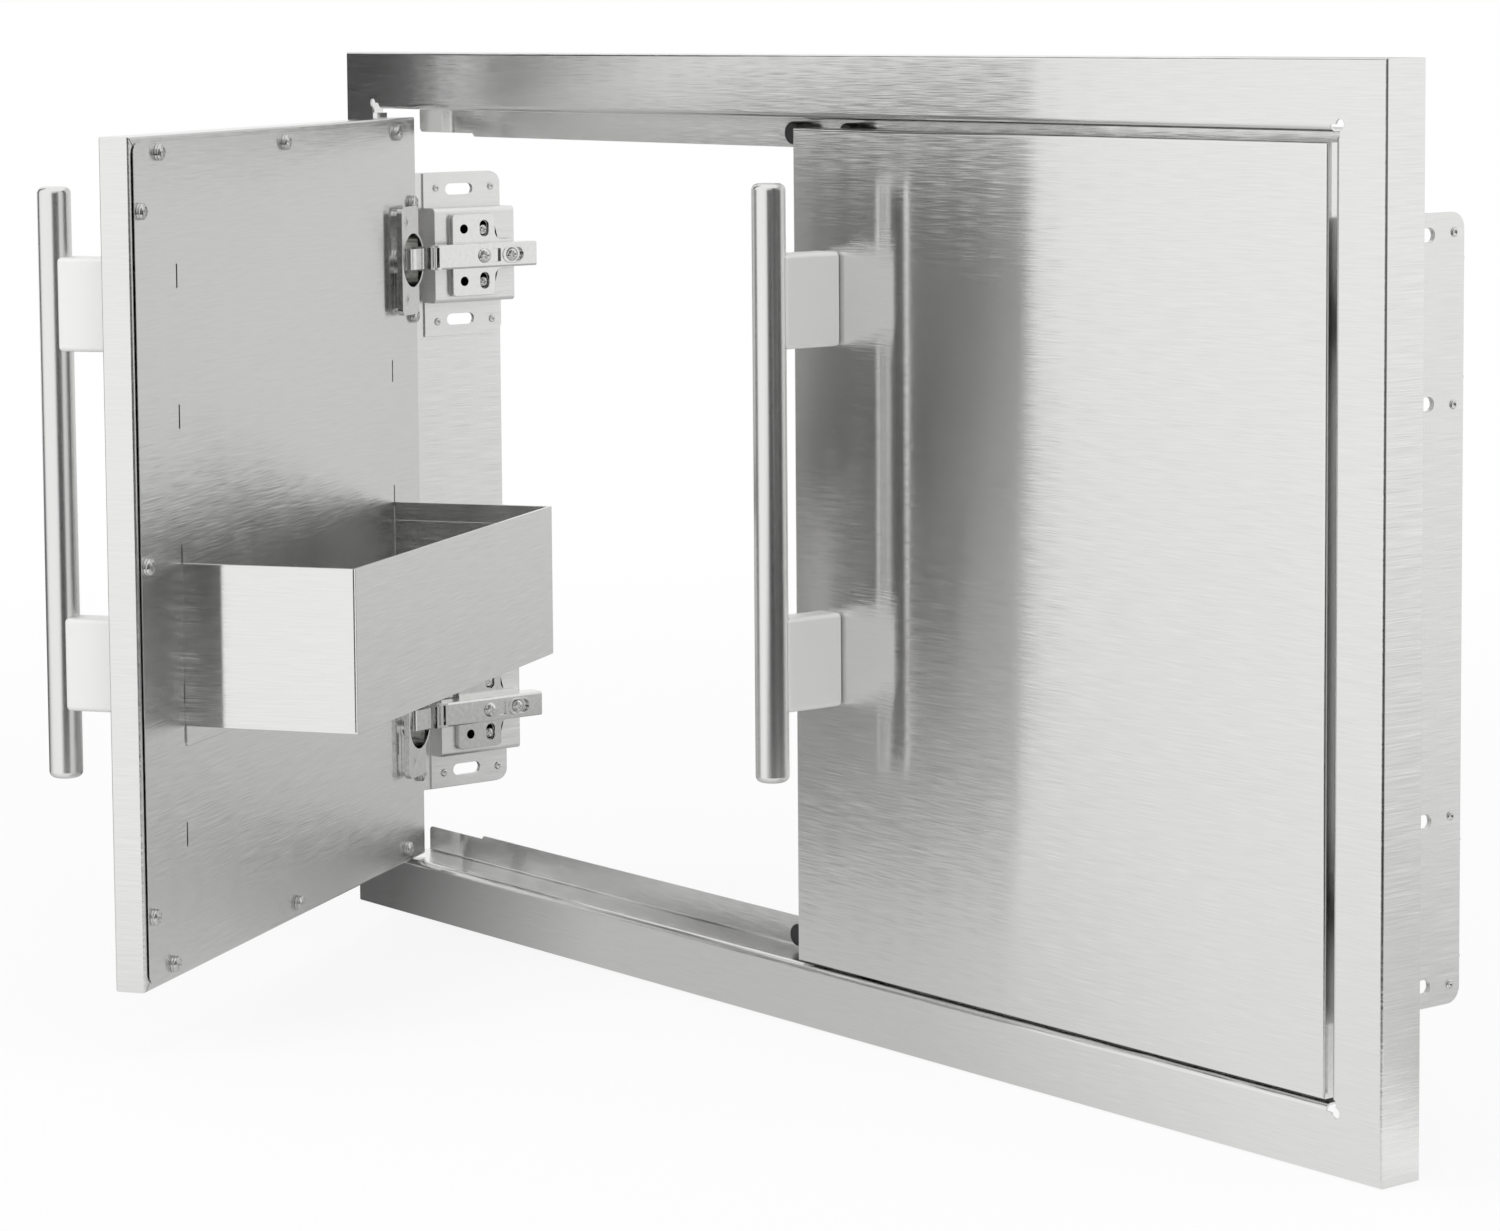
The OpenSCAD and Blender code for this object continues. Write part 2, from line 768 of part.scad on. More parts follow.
module hinge_arm(side, level) {
    color(nickel) on_plate(side, level) {
        difference() {
            arm_channel();
            translate([arm_u, adjust_y, 0]) rotate([0, 90, 0])
                cylinder(d = arm_screw_d + play, h = arm_face);
            translate([arm_u, window_y, -window_h / 2]) cube([arm_face, window_len, window_h]);
            translate([arm_u, 0, 0]) along_x(arm_face)
                translate([clamp_y, 0]) slot_shape(clamp_slot_len, clamp_slot_w);
        }
        translate([arm_face, clamp_y, 0]) along_x(clamp_rim_h) difference() {
            slot_shape(clamp_slot_len + 2 * clamp_rim_w, clamp_slot_w + 2 * clamp_rim_w);
            slot_shape(clamp_slot_len, clamp_slot_w);
        }
        difference() {
            union() {
                for (j = [-1, 1]) translate([0, 0, j * (arm_w - arm_wall) / 2]) cheek();
                translate([axis_u, 0, 0])
                    ring_sector(swan_r1, swan_r1 + swan_t, swan_start_angle, swan_end_angle, swan_w);
                turned_to(knuckle_turn_r, knuckle_angle)
                    cylinder(r = knuckle_r, h = arm_w - 2 * arm_wall, center = true);
            }
            turned_to(knuckle_turn_r, knuckle_angle)
                cylinder(d = hinge_pin_d + play, h = arm_w + cut, center = true);
        }
    }
}

module hinge_arm_pins() {
    color(bright_steel) for (side = SIDES, level = LEVELS) on_plate(side, level)
        turned_to(knuckle_turn_r, knuckle_angle)
            cylinder(d = hinge_pin_d, h = arm_w + gap, center = true);
}

module hinge_arm_screws() {
    color(nickel) for (side = SIDES, level = LEVELS) on_plate(side, level) {
        translate([arm_face, adjust_y, 0]) rotate([0, 90, 0])
            pan_screw(arm_screw_head_d, arm_screw_head_h, arm_screw_d - play,
                      adjust_depth - arm_screw_head_h);
        translate([rail_top, clamp_y, 0]) rotate([0, 90, 0])
            pan_screw(clamp_screw_head_d, arm_screw_head_h, arm_screw_d - play, clamp_depth);
    }
}

// Links between the arms and the cups, which turn at half the angle of the door

module link_place(side, level) {
    in_wall() for_side(side) swung(side, 1 / 2) on_axis(level) children();
}

module at_link_end(angle) {
    translate([link_turn_r * sin(angle), link_turn_r * cos(angle), 0]) children();
}

module hinge_links(side) {
    color(nickel) for (level = LEVELS) link_place(side, level) difference() {
        union() {
            ring_sector(link_turn_r - link_t / 2, link_turn_r + link_t / 2,
                        link_start_angle + link_tuck_angle, link_end_angle - link_tuck_angle, link_w);
            for (a = [link_start_angle, link_end_angle]) at_link_end(a)
                cylinder(r = link_knuckle_r, h = link_w, center = true);
        }
        for (a = [link_start_angle, link_end_angle]) at_link_end(a)
            cylinder(d = hinge_pin_d + play, h = link_w + cut, center = true);
    }
}

module link_pins(side) {
    color(bright_steel) for (level = LEVELS, a = [link_start_angle, link_end_angle])
        link_place(side, level) at_link_end(a)
            cylinder(d = hinge_pin_d, h = link_w + gap, center = true);
}

// Hinge cups

module cup_flange_shape(inset) {
    near = cup_flange_near - axis_inset + inset;
    far = cup_flange_far - axis_inset - inset;
    translate([(near + far) / 2, 0])
        rounded_rect(far - near, cup_flange_h - 2 * inset, cup_corner_r);
}

module cup_screw_places() {
    for (j = [-1, 1])
        translate([cup_screw_inset - axis_inset, 0, j * cup_screw_pitch / 2]) children();
}

module hinge_cup(side, level) {
    top = door_t + cup_rise;
    centre = cup_inset - axis_inset;
    color(nickel) on_door(side) on_axis(level) difference() {
        union() {
            translate([centre, cup_bottom, 0]) along_y(top - cup_bottom) circle(d = cup_d);
            translate([0, door_t, 0]) along_y(cup_rise) cup_flange_shape(cup_flange_inset);
            translate([0, top - cup_flange_t, 0]) along_y(cup_flange_t) cup_flange_shape(0);
        }
        translate([centre, cup_bottom + cup_floor, 0])
            along_y(top) circle(d = cup_d - 2 * cup_wall);
        translate([-cut, door_t - play, -notch_w / 2])
            cube([notch_reach + cut, cup_rise + cut, notch_w]);
        cup_screw_places() translate([0, top, 0]) rotate([-90, 0, 0])
            countersunk_space(cup_screw_head_d, cup_screw_d);
    }
}

// The room for a countersunk head, wide enough not to touch it
module countersunk_space(head_d, shank_d) {
    head_h = (head_d - shank_d) / 2;
    translate([0, 0, -head_h]) cylinder(d1 = shank_d + play, d2 = head_d + play, h = head_h);
    cylinder(d = head_d + play, h = cut);
    translate([0, 0, -door_t]) cylinder(d = shank_d + play, h = door_t);
}

module cup_screws(side) {
    color(nickel) on_door(side) for (level = LEVELS) on_axis(level) cup_screw_places()
        translate([0, door_t + cup_rise, 0]) rotate([-90, 0, 0])
            countersunk_screw(cup_screw_head_d, cup_screw_d, cup_screw_len);
}

// Doors

// Screws round a back panel, as distances from the free edge and heights from the middle
function panel_screw_points() = let (
    half = door_h / 2,
    rows = [for (j = [-1, 1], p = [end_row_side, door_w / 2, door_w - end_row_side])
        [p, j * (half - end_row)]],
    free = [for (z = [free_row_end - half, 0, half - free_row_end]) [free_row, z]],
    off = cup_flange_h / 2 + hinge_row_gap,
    hinge = [for (level = LEVELS, j = [-1, 1])
        [door_w - hinge_row, level * hinge_spacing / 2 + j * off]]
) concat(rows, free, hinge);

module panel_screw_places() {
    for (q = panel_screw_points())
        translate([free_edge_x + q[0], skin_d, door_z + q[1]]) children();
}

module cup_bores() {
    for (level = LEVELS) on_axis(level)
        translate([cup_inset - axis_inset, cup_bottom, 0])
            along_y(door_t) circle(d = cup_d + 2 * cup_bore_play);
}

module cup_screw_bores() {
    for (level = LEVELS) on_axis(level) cup_screw_places() translate([0, cup_bottom, 0])
        along_y(door_t) circle(d = cup_screw_d + play);
}

module panel_screw_bores() {
    panel_screw_places() translate([0, -door_t / 2, 0])
        along_y(door_t) circle(d = panel_screw_d + play);
}

module door_skin(side) {
    color(bright_steel) on_door(side) difference() {
        translate([free_edge_x + door_w / 2, 0, door_z])
            folded_block(door_w, door_h, skin_d, door_bend_r);
        translate([free_edge_x + skin_t, skin_t, door_z - door_h / 2 + skin_t])
            cube([door_w - 2 * skin_t, skin_d - 2 * skin_t, door_h - 2 * skin_t]);
        translate([free_edge_x + flange_w, skin_d / 2, door_z - door_h / 2 + flange_w])
            cube([door_w - 2 * flange_w, skin_d, door_h - 2 * flange_w]);
        cup_bores();
        panel_screw_bores();
        translate([free_edge_x + bar_inset, -cut, door_z + bar_lift])
            for (level = LEVELS) translate([0, 0, level * post_pitch / 2])
                along_y(skin_t + 2 * cut) circle(d = handle_screw_d + play);
    }
}

module slits() {
    for (p = [slit_near, door_w - slit_far], row = slit_rows)
        translate([free_edge_x + p - slit_w / 2, 0, door_z + row * slit_pitch - slit_len / 2])
            cube([slit_w, 2 * door_t, slit_len]);
}

module back_panel(side) {
    color(steel) on_door(side) difference() {
        translate([free_edge_x + door_w / 2, skin_d, door_z]) along_y(panel_t)
            rounded_rect(door_w - 2 * panel_inset, door_h - 2 * panel_inset, panel_corner_r);
        slits();
        cup_bores();
        cup_screw_bores();
        panel_screw_bores();
    }
}

module panel_screws(side) {
    color(steel) on_door(side) panel_screw_places() translate([0, panel_t, 0])
        rotate([-90, 0, 0]) {
            difference() {
                cylinder(d = panel_screw_head_d + play, h = washer_h);
                cylinder(d = panel_screw_d, h = washer_h);
            }
            translate([0, 0, washer_h])
                pan_screw(panel_screw_head_d, panel_screw_head_h - washer_h, panel_screw_d,
                          panel_screw_len + washer_h);
        }
}

// Handles

module handle_bar(side) {
    color(bright_steel) on_handle(side) translate([0, -bar_standoff, 0]) difference() {
        translate([0, 0, -bar_len / 2]) rotate_extrude() {
            translate([0, bar_end_r]) square([bar_d / 2, bar_len - 2 * bar_end_r]);
            square([bar_d / 2 - bar_end_r, bar_len]);
            for (z = [bar_end_r, bar_len - bar_end_r]) intersection() {
                translate([bar_d / 2 - bar_end_r, z]) circle(bar_end_r);
                translate([0, z - bar_end_r]) square([bar_d / 2, 2 * bar_end_r]);
            }
        }
        for (level = LEVELS) translate([0, 0, level * post_pitch / 2])
            along_y(bar_d) circle(d = handle_screw_d + play);
        for (level = LEVELS) translate([0, -handle_thread, level * post_pitch / 2])
            along_y(bar_d) circle(d = handle_screw_d + play);
    }
}

module handle_post(side, level) {
    len = bar_standoff - post_short;
    color(bright_steel) on_handle(side) translate([0, 0, level * post_pitch / 2]) difference() {
        intersection() {
            translate([-post_w / 2, -len / 2, 0]) along_x(post_w)
                rounded_rect(len, post_h, post_corner_r);
            translate([0, -len, 0]) along_y(len) rounded_rect(post_w, post_h, post_edge_r);
        }
        translate([0, -bar_standoff, 0]) cylinder(d = bar_d + play, h = post_h * 2, center = true);
        translate([0, -len - cut, 0]) along_y(len + 2 * cut) circle(d = handle_screw_d + play);
    }
}

module handle_screws(side) {
    color(steel) on_handle(side) for (level = LEVELS)
        translate([0, skin_t, level * post_pitch / 2]) rotate([-90, 0, 0])
            pan_screw(handle_head_d, handle_head_h, handle_screw_d,
                      bar_standoff + skin_t + handle_thread - play);
}

// Tray, hung in the slits of the left door

module tray_end() {
    front = door_t + tray_d - tray_t - tray_seam;
    translate([-tray_t / 2, 0, 0]) along_x(tray_t)
        translate([door_t + play, -tray_h]) square([front - door_t - play, tray_h]);
    for (row = hook_rows) translate([-hook_t / 2, 0, row * slit_pitch]) along_x(hook_t) {
        inner = door_t - hook_reach;
        translate([inner - hook_t, -hook_h]) square([hook_reach + hook_t + 2 * play, hook_h]);
        translate([inner - hook_t, -hook_h - hook_len]) square([hook_t, hook_len + play]);
    }
}

module hem(len) {
    translate([0, 0, -hem_h]) cube([len, 2 * tray_t, hem_h]);
}

module left_door_tray() {
    len = door_w - slit_far - slit_near;
    front = door_t + tray_d;
    color(bright_steel) on_door(LEFT) translate([free_edge_x + slit_near, 0, tray_top]) {
        tray_end();
        translate([len, 0, 0]) tray_end();
        translate([-tray_t / 2, front - tray_t, -tray_h]) cube([len + tray_t, tray_t, tray_h]);
        translate([-tray_t / 2, door_t + play, -tray_h]) cube([len + tray_t, tray_d - play, tray_t]);
        translate([tray_t, front - 2 * tray_t, 0]) hem(len - 2 * tray_t);
        for (p = [-tray_t / 2, len - 1.5 * tray_t])
            translate([p, door_t + tray_corner_r, -hem_h])
                cube([2 * tray_t, tray_d - 2 * tray_corner_r, hem_h]);
        translate([0, door_t + play, -tray_h]) along_y(tray_t)
            difference() {
                translate([len / 2, 0])
                    rounded_rect(len, 2 * tray_flange_h, tray_corner_r);
                translate([-cut, 0]) square([len + 2 * cut, tray_flange_h + cut]);
            }
    }
}

// Bumpers on the stop lips

module door_bumpers() {
    front = door_t + gap;
    head = stop_depth - front;
    color(rubber) in_wall() for (i = [-1, 1], j = [-1, 1])
        translate([i * bumper_x, stop_depth, j * (open_h / 2 - bumper_off)])
            rotate([90, 0, 0]) rotate_extrude() {
                square([bumper_d / 2 - bumper_end_r, head]);
                square([bumper_d / 2, head - bumper_end_r]);
                intersection() {
                    translate([bumper_d / 2 - bumper_end_r, head - bumper_end_r])
                        circle(bumper_end_r);
                    square([bumper_d / 2, head]);
                }
                translate([0, -frame_sheet - bumper_barb_h])
                    square([bumper_stem_d / 2, frame_sheet + bumper_barb_h]);
                translate([0, -frame_sheet - bumper_barb_h])
                    polygon([
                        [0, 0], [bumper_stem_d / 2, 0], [bumper_barb_d / 2, bumper_barb_h],
                        [0, bumper_barb_h]
                    ]);
            }
}

face_frame();
side_plate(LEFT);  // left_side_plate
side_plate(RIGHT);  // right_side_plate
hinge_bracket(LEFT, UPPER);  // left_upper_hinge_bracket
hinge_bracket(LEFT, LOWER);  // left_lower_hinge_bracket
hinge_bracket(RIGHT, UPPER);  // right_upper_hinge_bracket
hinge_bracket(RIGHT, LOWER);  // right_lower_hinge_bracket
mounting_plate(LEFT, UPPER);  // left_upper_mounting_plate
mounting_plate(LEFT, LOWER);  // left_lower_mounting_plate
mounting_plate(RIGHT, UPPER);  // right_upper_mounting_plate
mounting_plate(RIGHT, LOWER);  // right_lower_mounting_plate
hinge_arm(LEFT, UPPER);  // left_upper_hinge_arm
hinge_arm(LEFT, LOWER);  // left_lower_hinge_arm
hinge_arm(RIGHT, UPPER);  // right_upper_hinge_arm
hinge_arm(RIGHT, LOWER);  // right_lower_hinge_arm
bracket_rivets();
mounting_plate_screws();
hinge_arm_screws();
hinge_arm_pins();
door_bumpers();
hinge_links(LEFT);  // left_hinge_links
link_pins(LEFT);  // left_link_pins
hinge_links(RIGHT);  // right_hinge_links
link_pins(RIGHT);  // right_link_pins
door_skin(LEFT);  // left_door_skin
back_panel(LEFT);  // left_back_panel
panel_screws(LEFT);  // left_panel_screws
hinge_cup(LEFT, UPPER);  // left_upper_hinge_cup
hinge_cup(LEFT, LOWER);  // left_lower_hinge_cup
cup_screws(LEFT);  // left_cup_screws
handle_bar(LEFT);  // left_handle_bar
handle_post(LEFT, UPPER);  // left_handle_upper_post
handle_post(LEFT, LOWER);  // left_handle_lower_post
handle_screws(LEFT);  // left_handle_screws
left_door_tray();
door_skin(RIGHT);  // right_door_skin
back_panel(RIGHT);  // right_back_panel
panel_screws(RIGHT);  // right_panel_screws
hinge_cup(RIGHT, UPPER);  // right_upper_hinge_cup
hinge_cup(RIGHT, LOWER);  // right_lower_hinge_cup
cup_screws(RIGHT);  // right_cup_screws
handle_bar(RIGHT);  // right_handle_bar
handle_post(RIGHT, UPPER);  // right_handle_upper_post
handle_post(RIGHT, LOWER);  // right_handle_lower_post
handle_screws(RIGHT);  // right_handle_screws
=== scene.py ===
"""Looks of the double access door: its finishes, its dressed pieces, the studio and the camera.

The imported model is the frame. Every length here is in metres unless its name ends in _mm, and
every piece is built in the frame's own coordinates: x across the doors, y back into the island
and z up, with the origin in the middle of the face frame on the plane of the wall.
"""

import json
import logging
import math
from dataclasses import dataclass
from enum import Enum

import bmesh
import bpy
from mathutils import Matrix, Vector
from mathutils.bvhtree import BVHTree
from mathutils.geometry import tessellate_polygon

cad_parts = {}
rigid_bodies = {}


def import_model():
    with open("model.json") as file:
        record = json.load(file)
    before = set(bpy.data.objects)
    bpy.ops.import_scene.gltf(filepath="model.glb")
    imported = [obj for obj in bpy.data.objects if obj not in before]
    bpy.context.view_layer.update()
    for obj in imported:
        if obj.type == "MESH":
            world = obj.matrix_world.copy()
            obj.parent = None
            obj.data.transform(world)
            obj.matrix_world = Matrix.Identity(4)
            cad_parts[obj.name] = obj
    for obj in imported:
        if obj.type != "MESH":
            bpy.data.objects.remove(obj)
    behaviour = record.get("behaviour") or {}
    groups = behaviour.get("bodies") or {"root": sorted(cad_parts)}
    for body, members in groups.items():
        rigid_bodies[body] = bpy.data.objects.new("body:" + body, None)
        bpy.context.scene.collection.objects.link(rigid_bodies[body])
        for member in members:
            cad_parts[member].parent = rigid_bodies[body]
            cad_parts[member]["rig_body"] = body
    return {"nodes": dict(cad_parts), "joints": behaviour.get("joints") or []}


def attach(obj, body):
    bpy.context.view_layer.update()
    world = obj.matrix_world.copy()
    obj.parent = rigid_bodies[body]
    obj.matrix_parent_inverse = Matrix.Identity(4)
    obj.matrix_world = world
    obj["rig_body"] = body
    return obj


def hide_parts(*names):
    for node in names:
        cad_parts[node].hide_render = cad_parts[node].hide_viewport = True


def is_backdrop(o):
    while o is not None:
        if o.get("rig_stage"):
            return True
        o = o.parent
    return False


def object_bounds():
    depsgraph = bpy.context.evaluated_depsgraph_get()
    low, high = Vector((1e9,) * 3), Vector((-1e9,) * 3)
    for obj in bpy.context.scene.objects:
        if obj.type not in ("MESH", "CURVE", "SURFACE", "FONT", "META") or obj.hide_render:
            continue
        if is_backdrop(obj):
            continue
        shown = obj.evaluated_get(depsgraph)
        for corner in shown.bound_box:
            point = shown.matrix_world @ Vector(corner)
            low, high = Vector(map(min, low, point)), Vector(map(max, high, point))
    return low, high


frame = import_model()

LOG = logging.getLogger("access_door")
MM = 0.001

# Points nearer to each other than this are one point.
WELD = 0.002 * MM
# Faces that turn by less than this are one flat face.
FLAT_DEGREES = 0.3
# A rounding may leave its solid by this share of its radius, and no more.
OVERRUN_SHARE = 0.5
# The noise of the patterns seldom leaves this range.
NOISE_LOW, NOISE_HIGH = 0.3, 0.7
SHADER = "Principled BSDF"

Point = tuple[float, float]
Place = tuple[float, float, float]
Corner = bmesh.types.BMVert
Material = bpy.types.Material
Tree = bpy.types.NodeTree
Node = bpy.types.Node
Socket = bpy.types.NodeSocket
Inputs = dict[str | int, object]


def linear(hex_colour: str) -> tuple[float, float, float, float]:
    """Turns an sRGB hex colour into the linear colour that the shaders take.

    Args:
        hex_colour: six hex digits after a #.

    Returns:
        Linear red, green, blue and full alpha.
    """
    values = [int(hex_colour[i : i + 2], 16) / 255 for i in (1, 3, 5)]
    parts = [v / 12.92 if v <= 0.04045 else ((v + 0.055) / 1.055) ** 2.4 for v in values]
    return (parts[0], parts[1], parts[2], 1.0)


def repeats(size_mm: float) -> float:
    """Gives how often a pattern of a size in millimetres repeats in a metre."""
    return 1 / (size_mm * MM)


def fill(tree: Tree, node: Node, inputs: Inputs) -> None:
    """Fills or links a node's inputs.

    Args:
        tree: the node tree.
        node: the node.
        inputs: input name or number, with a value, with the socket to link from, or with the
            node whose first output it takes.
    """
    for name, value in inputs.items():
        if isinstance(value, Node):
            value = value.outputs[0]
        if isinstance(value, Socket):
            tree.links.new(value, node.inputs[name])
        else:
            node.inputs[name].default_value = value


def add_node(tree: Tree, kind: str, inputs: Inputs | None = None, **settings: object) -> Node:
    """Adds one node, with its settings and with its inputs filled or linked.

    Args:
        tree: the material's or the world's node tree.
        kind: the node's type name, after the words ShaderNode.
        inputs: what its inputs take, as fill() has them.
        **settings: properties of the node itself.

    Returns:
        The new node.
    """
    node = tree.nodes.new(f"ShaderNode{kind}")
    for name, value in settings.items():
        setattr(node, name, value)
    fill(tree, node, inputs or {})
    return node


def new_material(name: str) -> tuple[Material, Tree]:
    """Makes a material, and gives its node tree with it.

    Args:
        name: the material's name.

    Returns:
        The material and its node tree.
    """
    made = bpy.data.materials.new(name)
    made.use_nodes = True
    return made, made.node_tree


def new_object(name: str, data: bpy.types.ID) -> bpy.types.Object:
    """Puts a mesh, a lamp or a camera into the scene.

    Args:
        name: the object's name.
        data: its mesh, lamp or camera.

    Returns:
        The object.
    """
    made = bpy.data.objects.new(name, data)
    bpy.context.scene.collection.objects.link(made)
    return made


class Side(Enum):
    """The two doors."""

    LEFT = "left"
    RIGHT = "right"


class Level(Enum):
    """The two hinges of a door, and the two posts of a handle."""

    UPPER = "upper"
    LOWER = "lower"


@dataclass(frozen=True)
class Finish:
    """What every finish has: two tones, and a roughness that wear moves up and down."""

    name: str
    light: str
    dark: str
    roughness: float
    roughness_swing: float

    def start(self, metallic: float = 1.0) -> tuple[Material, Tree, Socket]:
        """Starts the material.

        Args:
            metallic: how much of a metal the surface shows.

        Returns:
            The material, its node tree and the place on the object.
        """
        made, tree = new_material(self.name)
        fill(tree, tree.nodes[SHADER], {"Metallic": metallic})
        return made, tree, add_node(tree, "TexCoord").outputs["Object"]

    def tint(self, tree: Tree, pattern: Node, wear: Node | None) -> None:
        """Mixes the tones by one pattern, and moves the roughness by another.

        Args:
            tree: the material's node tree.
            pattern: the pattern between the two tones.
            wear: the pattern of the roughness, or nothing where it is even.
        """
        shader = tree.nodes[SHADER]
        colours = {0: pattern, "A": linear(self.dark), "B": linear(self.light)}
        tone = add_node(tree, "Mix", colours, data_type="RGBA")
        fill(tree, shader, {"Base Color": tone.outputs["Result"], "Roughness": self.roughness})
        if wear:
            half = self.roughness_swing / 2
            ends = {"To Min": self.roughness - half, "To Max": self.roughness + half}
            noise = {"Value": wear, "From Min": NOISE_LOW, "From Max": NOISE_HIGH}
            fill(tree, shader, {"Roughness": add_node(tree, "MapRange", {**noise, **ends})})


@dataclass(frozen=True)
class BrushedSheet(Finish):
    """Stainless sheet, belt-brushed across its width.

    The grain runs level on every face of the sheet. It leaves reflections sharp from side to
    side and smears them up and down, with fine level lines of light and shade in them.
    """

    name: str = "brushed_stainless_sheet"
    light: str = "#EEEEED"
    dark: str = "#E0E0DF"
    roughness: float = 0.12
    roughness_swing: float = 0.03
    anisotropy: float = 1.0
    # The real grain is 0.07 mm wide. Its lines are drawn coarser, so that they show at this distance.
    grain_width_mm: float = 0.55
    grain_length_mm: float = 22.0
    cloud_mm: float = 120.0
    depth_mm: float = 0.012
    bump: float = 0.35
    # The flanks of the real grain lean up and down by this much, which smears reflections that way.
    real_width_mm: float = 0.07
    lean: float = 0.55
    # The smear runs along this line. It leans back a little, so that a level face has one too.
    upright: Place = (0.0, 0.02, 1.0)

    def material(self) -> Material:
        """Builds the material.

        Returns:
            The new material.
        """
        made, tree, place = self.start()
        facing = add_node(tree, "NewGeometry")
        x, y, z = add_node(tree, "SeparateXYZ", {0: place}).outputs
        turned = add_node(tree, "SeparateXYZ", {0: facing.outputs["True Normal"]})
        level = add_node(tree, "Math", {0: turned.outputs["Z"]}, operation="ABSOLUTE")
        # The lines lie one above the other on an upright face, and one behind the other on a level one.
        across = add_node(tree, "Math", {0: level, 1: y, 2: z}, operation="MULTIPLY_ADD")
        line = add_node(tree, "CombineXYZ", {"X": x, "Y": y, "Z": across})
        long, wide, real = map(repeats, (self.grain_length_mm, self.grain_width_mm, self.real_width_mm))
        drawn = add_node(tree, "VectorMath", {0: line, 1: (long, long, wide)}, operation="MULTIPLY")
        grain = add_node(tree, "TexNoise", {"Vector": drawn, "Scale": 1.0, "Detail": 3.0, "Roughness": 0.6})
        cloud = add_node(tree, "TexNoise", {"Vector": place, "Scale": repeats(self.cloud_mm), "Detail": 2.0})
        self.tint(tree, grain, cloud)
        relief = add_node(
            tree, "Bump", {"Strength": self.bump, "Distance": self.depth_mm * MM, "Height": grain}
        )
        fine = add_node(tree, "VectorMath", {0: line, 1: (long, long, real)}, operation="MULTIPLY")
        flanks = add_node(tree, "TexNoise", {"Vector": fine, "Scale": 1.0, "Detail": 0.0})
        tilt = add_node(tree, "Math", {0: flanks, 1: self.lean, 2: -self.lean / 2}, operation="MULTIPLY_ADD")
        tilt_back = add_node(tree, "Math", {0: tilt, 1: level}, operation="MULTIPLY")
        flank = add_node(tree, "CombineXYZ", {"X": 0.0, "Y": tilt_back, "Z": tilt})
        leaned = add_node(tree, "VectorMath", {0: relief, 1: flank}, operation="ADD")
        normal = add_node(tree, "VectorMath", {0: leaned}, operation="NORMALIZE")
        upright = add_node(tree, "CombineXYZ", dict(zip("XYZ", self.upright)))
        ends = {"Anisotropic": self.anisotropy, "Normal": normal, "Tangent": upright}
        fill(tree, tree.nodes[SHADER], ends)
        return made


@dataclass(frozen=True)
class PlatedSteel(Finish):
    """Steel with a thin bright plating, tumbled or bagged before it was packed.

    The plating is smooth and bright, and small scuffs and handling marks break its reflections.
    """

    mark_mm: float

    def material(self) -> Material:
        """Builds the material.

        Returns:
            The new material.
        """
        made, tree, place = self.start()
        marks = add_node(tree, "TexNoise", {"Vector": place, "Scale": repeats(self.mark_mm), "Detail": 4.0})
        self.tint(tree, marks, marks)
        return made


@dataclass(frozen=True)
class SatinSteel(Finish):
    """Stainless steel with no lay: a fine-polished tube, or a casting blasted with glass beads.

    The tube gives soft upright streaks of its surroundings. The casting gives a pale even sheen,
    with a fine sparkle from the marks of the beads. It is less metallic than the tube, because
    its rough face scatters most of the light.
    """

    # Real grit marks are near 0.05 mm. They are drawn coarser, so that they show at this distance.
    grit_mm: float
    depth_mm: float
    bump: float = 0.3
    metallic: float = 1.0

    def material(self) -> Material:
        """Builds the material.

        Returns:
            The new material.
        """
        made, tree, place = self.start(self.metallic)
        grit = add_node(tree, "TexNoise", {"Vector": place, "Scale": repeats(self.grit_mm), "Detail": 3.0})
        self.tint(tree, grit, grit)
        relief = add_node(
            tree, "Bump", {"Strength": self.bump, "Distance": self.depth_mm * MM, "Height": grit}
        )
        fill(tree, tree.nodes[SHADER], {"Normal": relief})
        return made


@dataclass(frozen=True)
class MouldedRubber(Finish):
    """Black rubber from a polished mould: dark, with a soft wide gleam and a little bloom."""

    name: str = "moulded_rubber"
    light: str = "#262626"
    dark: str = "#0E0E0E"
    roughness: float = 0.32
    roughness_swing: float = 0.0
    bloom_mm: float = 1.6
    ior: float = 1.52

    def material(self) -> Material:
        """Builds the material.

        Returns:
            The new material.
        """
        made, tree, place = self.start(0.0)
        bloom = add_node(tree, "TexNoise", {"Vector": place, "Scale": repeats(self.bloom_mm), "Detail": 3.0})
        self.tint(tree, bloom, None)
        fill(tree, tree.nodes[SHADER], {"IOR": self.ior})
        return made


def rounded_outline(corners: list[Place], steps: int = 6) -> list[Point]:
    """Runs round a polygon, with an arc in each corner that has a radius.

    Args:
        corners: counter-clockwise corners, each with its radius.
        steps: segments in each arc.

    Returns:
        The points of the outline.
    """
    points: list[Point] = []
    for number, (u, v, radius) in enumerate(corners):
        here = Vector((u, v))
        back = (Vector(corners[number - 1][:2]) - here).normalized()
        onward = (Vector(corners[(number + 1) % len(corners)][:2]) - here).normalized()
        if radius == 0:
            points.append((u, v))
            continue
        half = back.angle(onward) / 2
        centre = here + (back + onward).normalized() * radius / math.sin(half)
        start = here + back * radius / math.tan(half) - centre
        end = here + onward * radius / math.tan(half) - centre
        first = math.atan2(start.y, start.x)
        sweep = (math.atan2(end.y, end.x) - first + math.pi) % math.tau - math.pi
        for step in range(steps + 1):
            angle = first + sweep * step / steps
            points.append((centre.x + radius * math.cos(angle), centre.y + radius * math.sin(angle)))
    return points


def rectangle(low: Point, high: Point, radius: float) -> list[Point]:
    """Gives the outline of a rectangle with rounded corners."""
    (u1, v1), (u2, v2) = low, high
    return rounded_outline([(u1, v1, radius), (u2, v1, radius), (u2, v2, radius), (u1, v2, radius)])


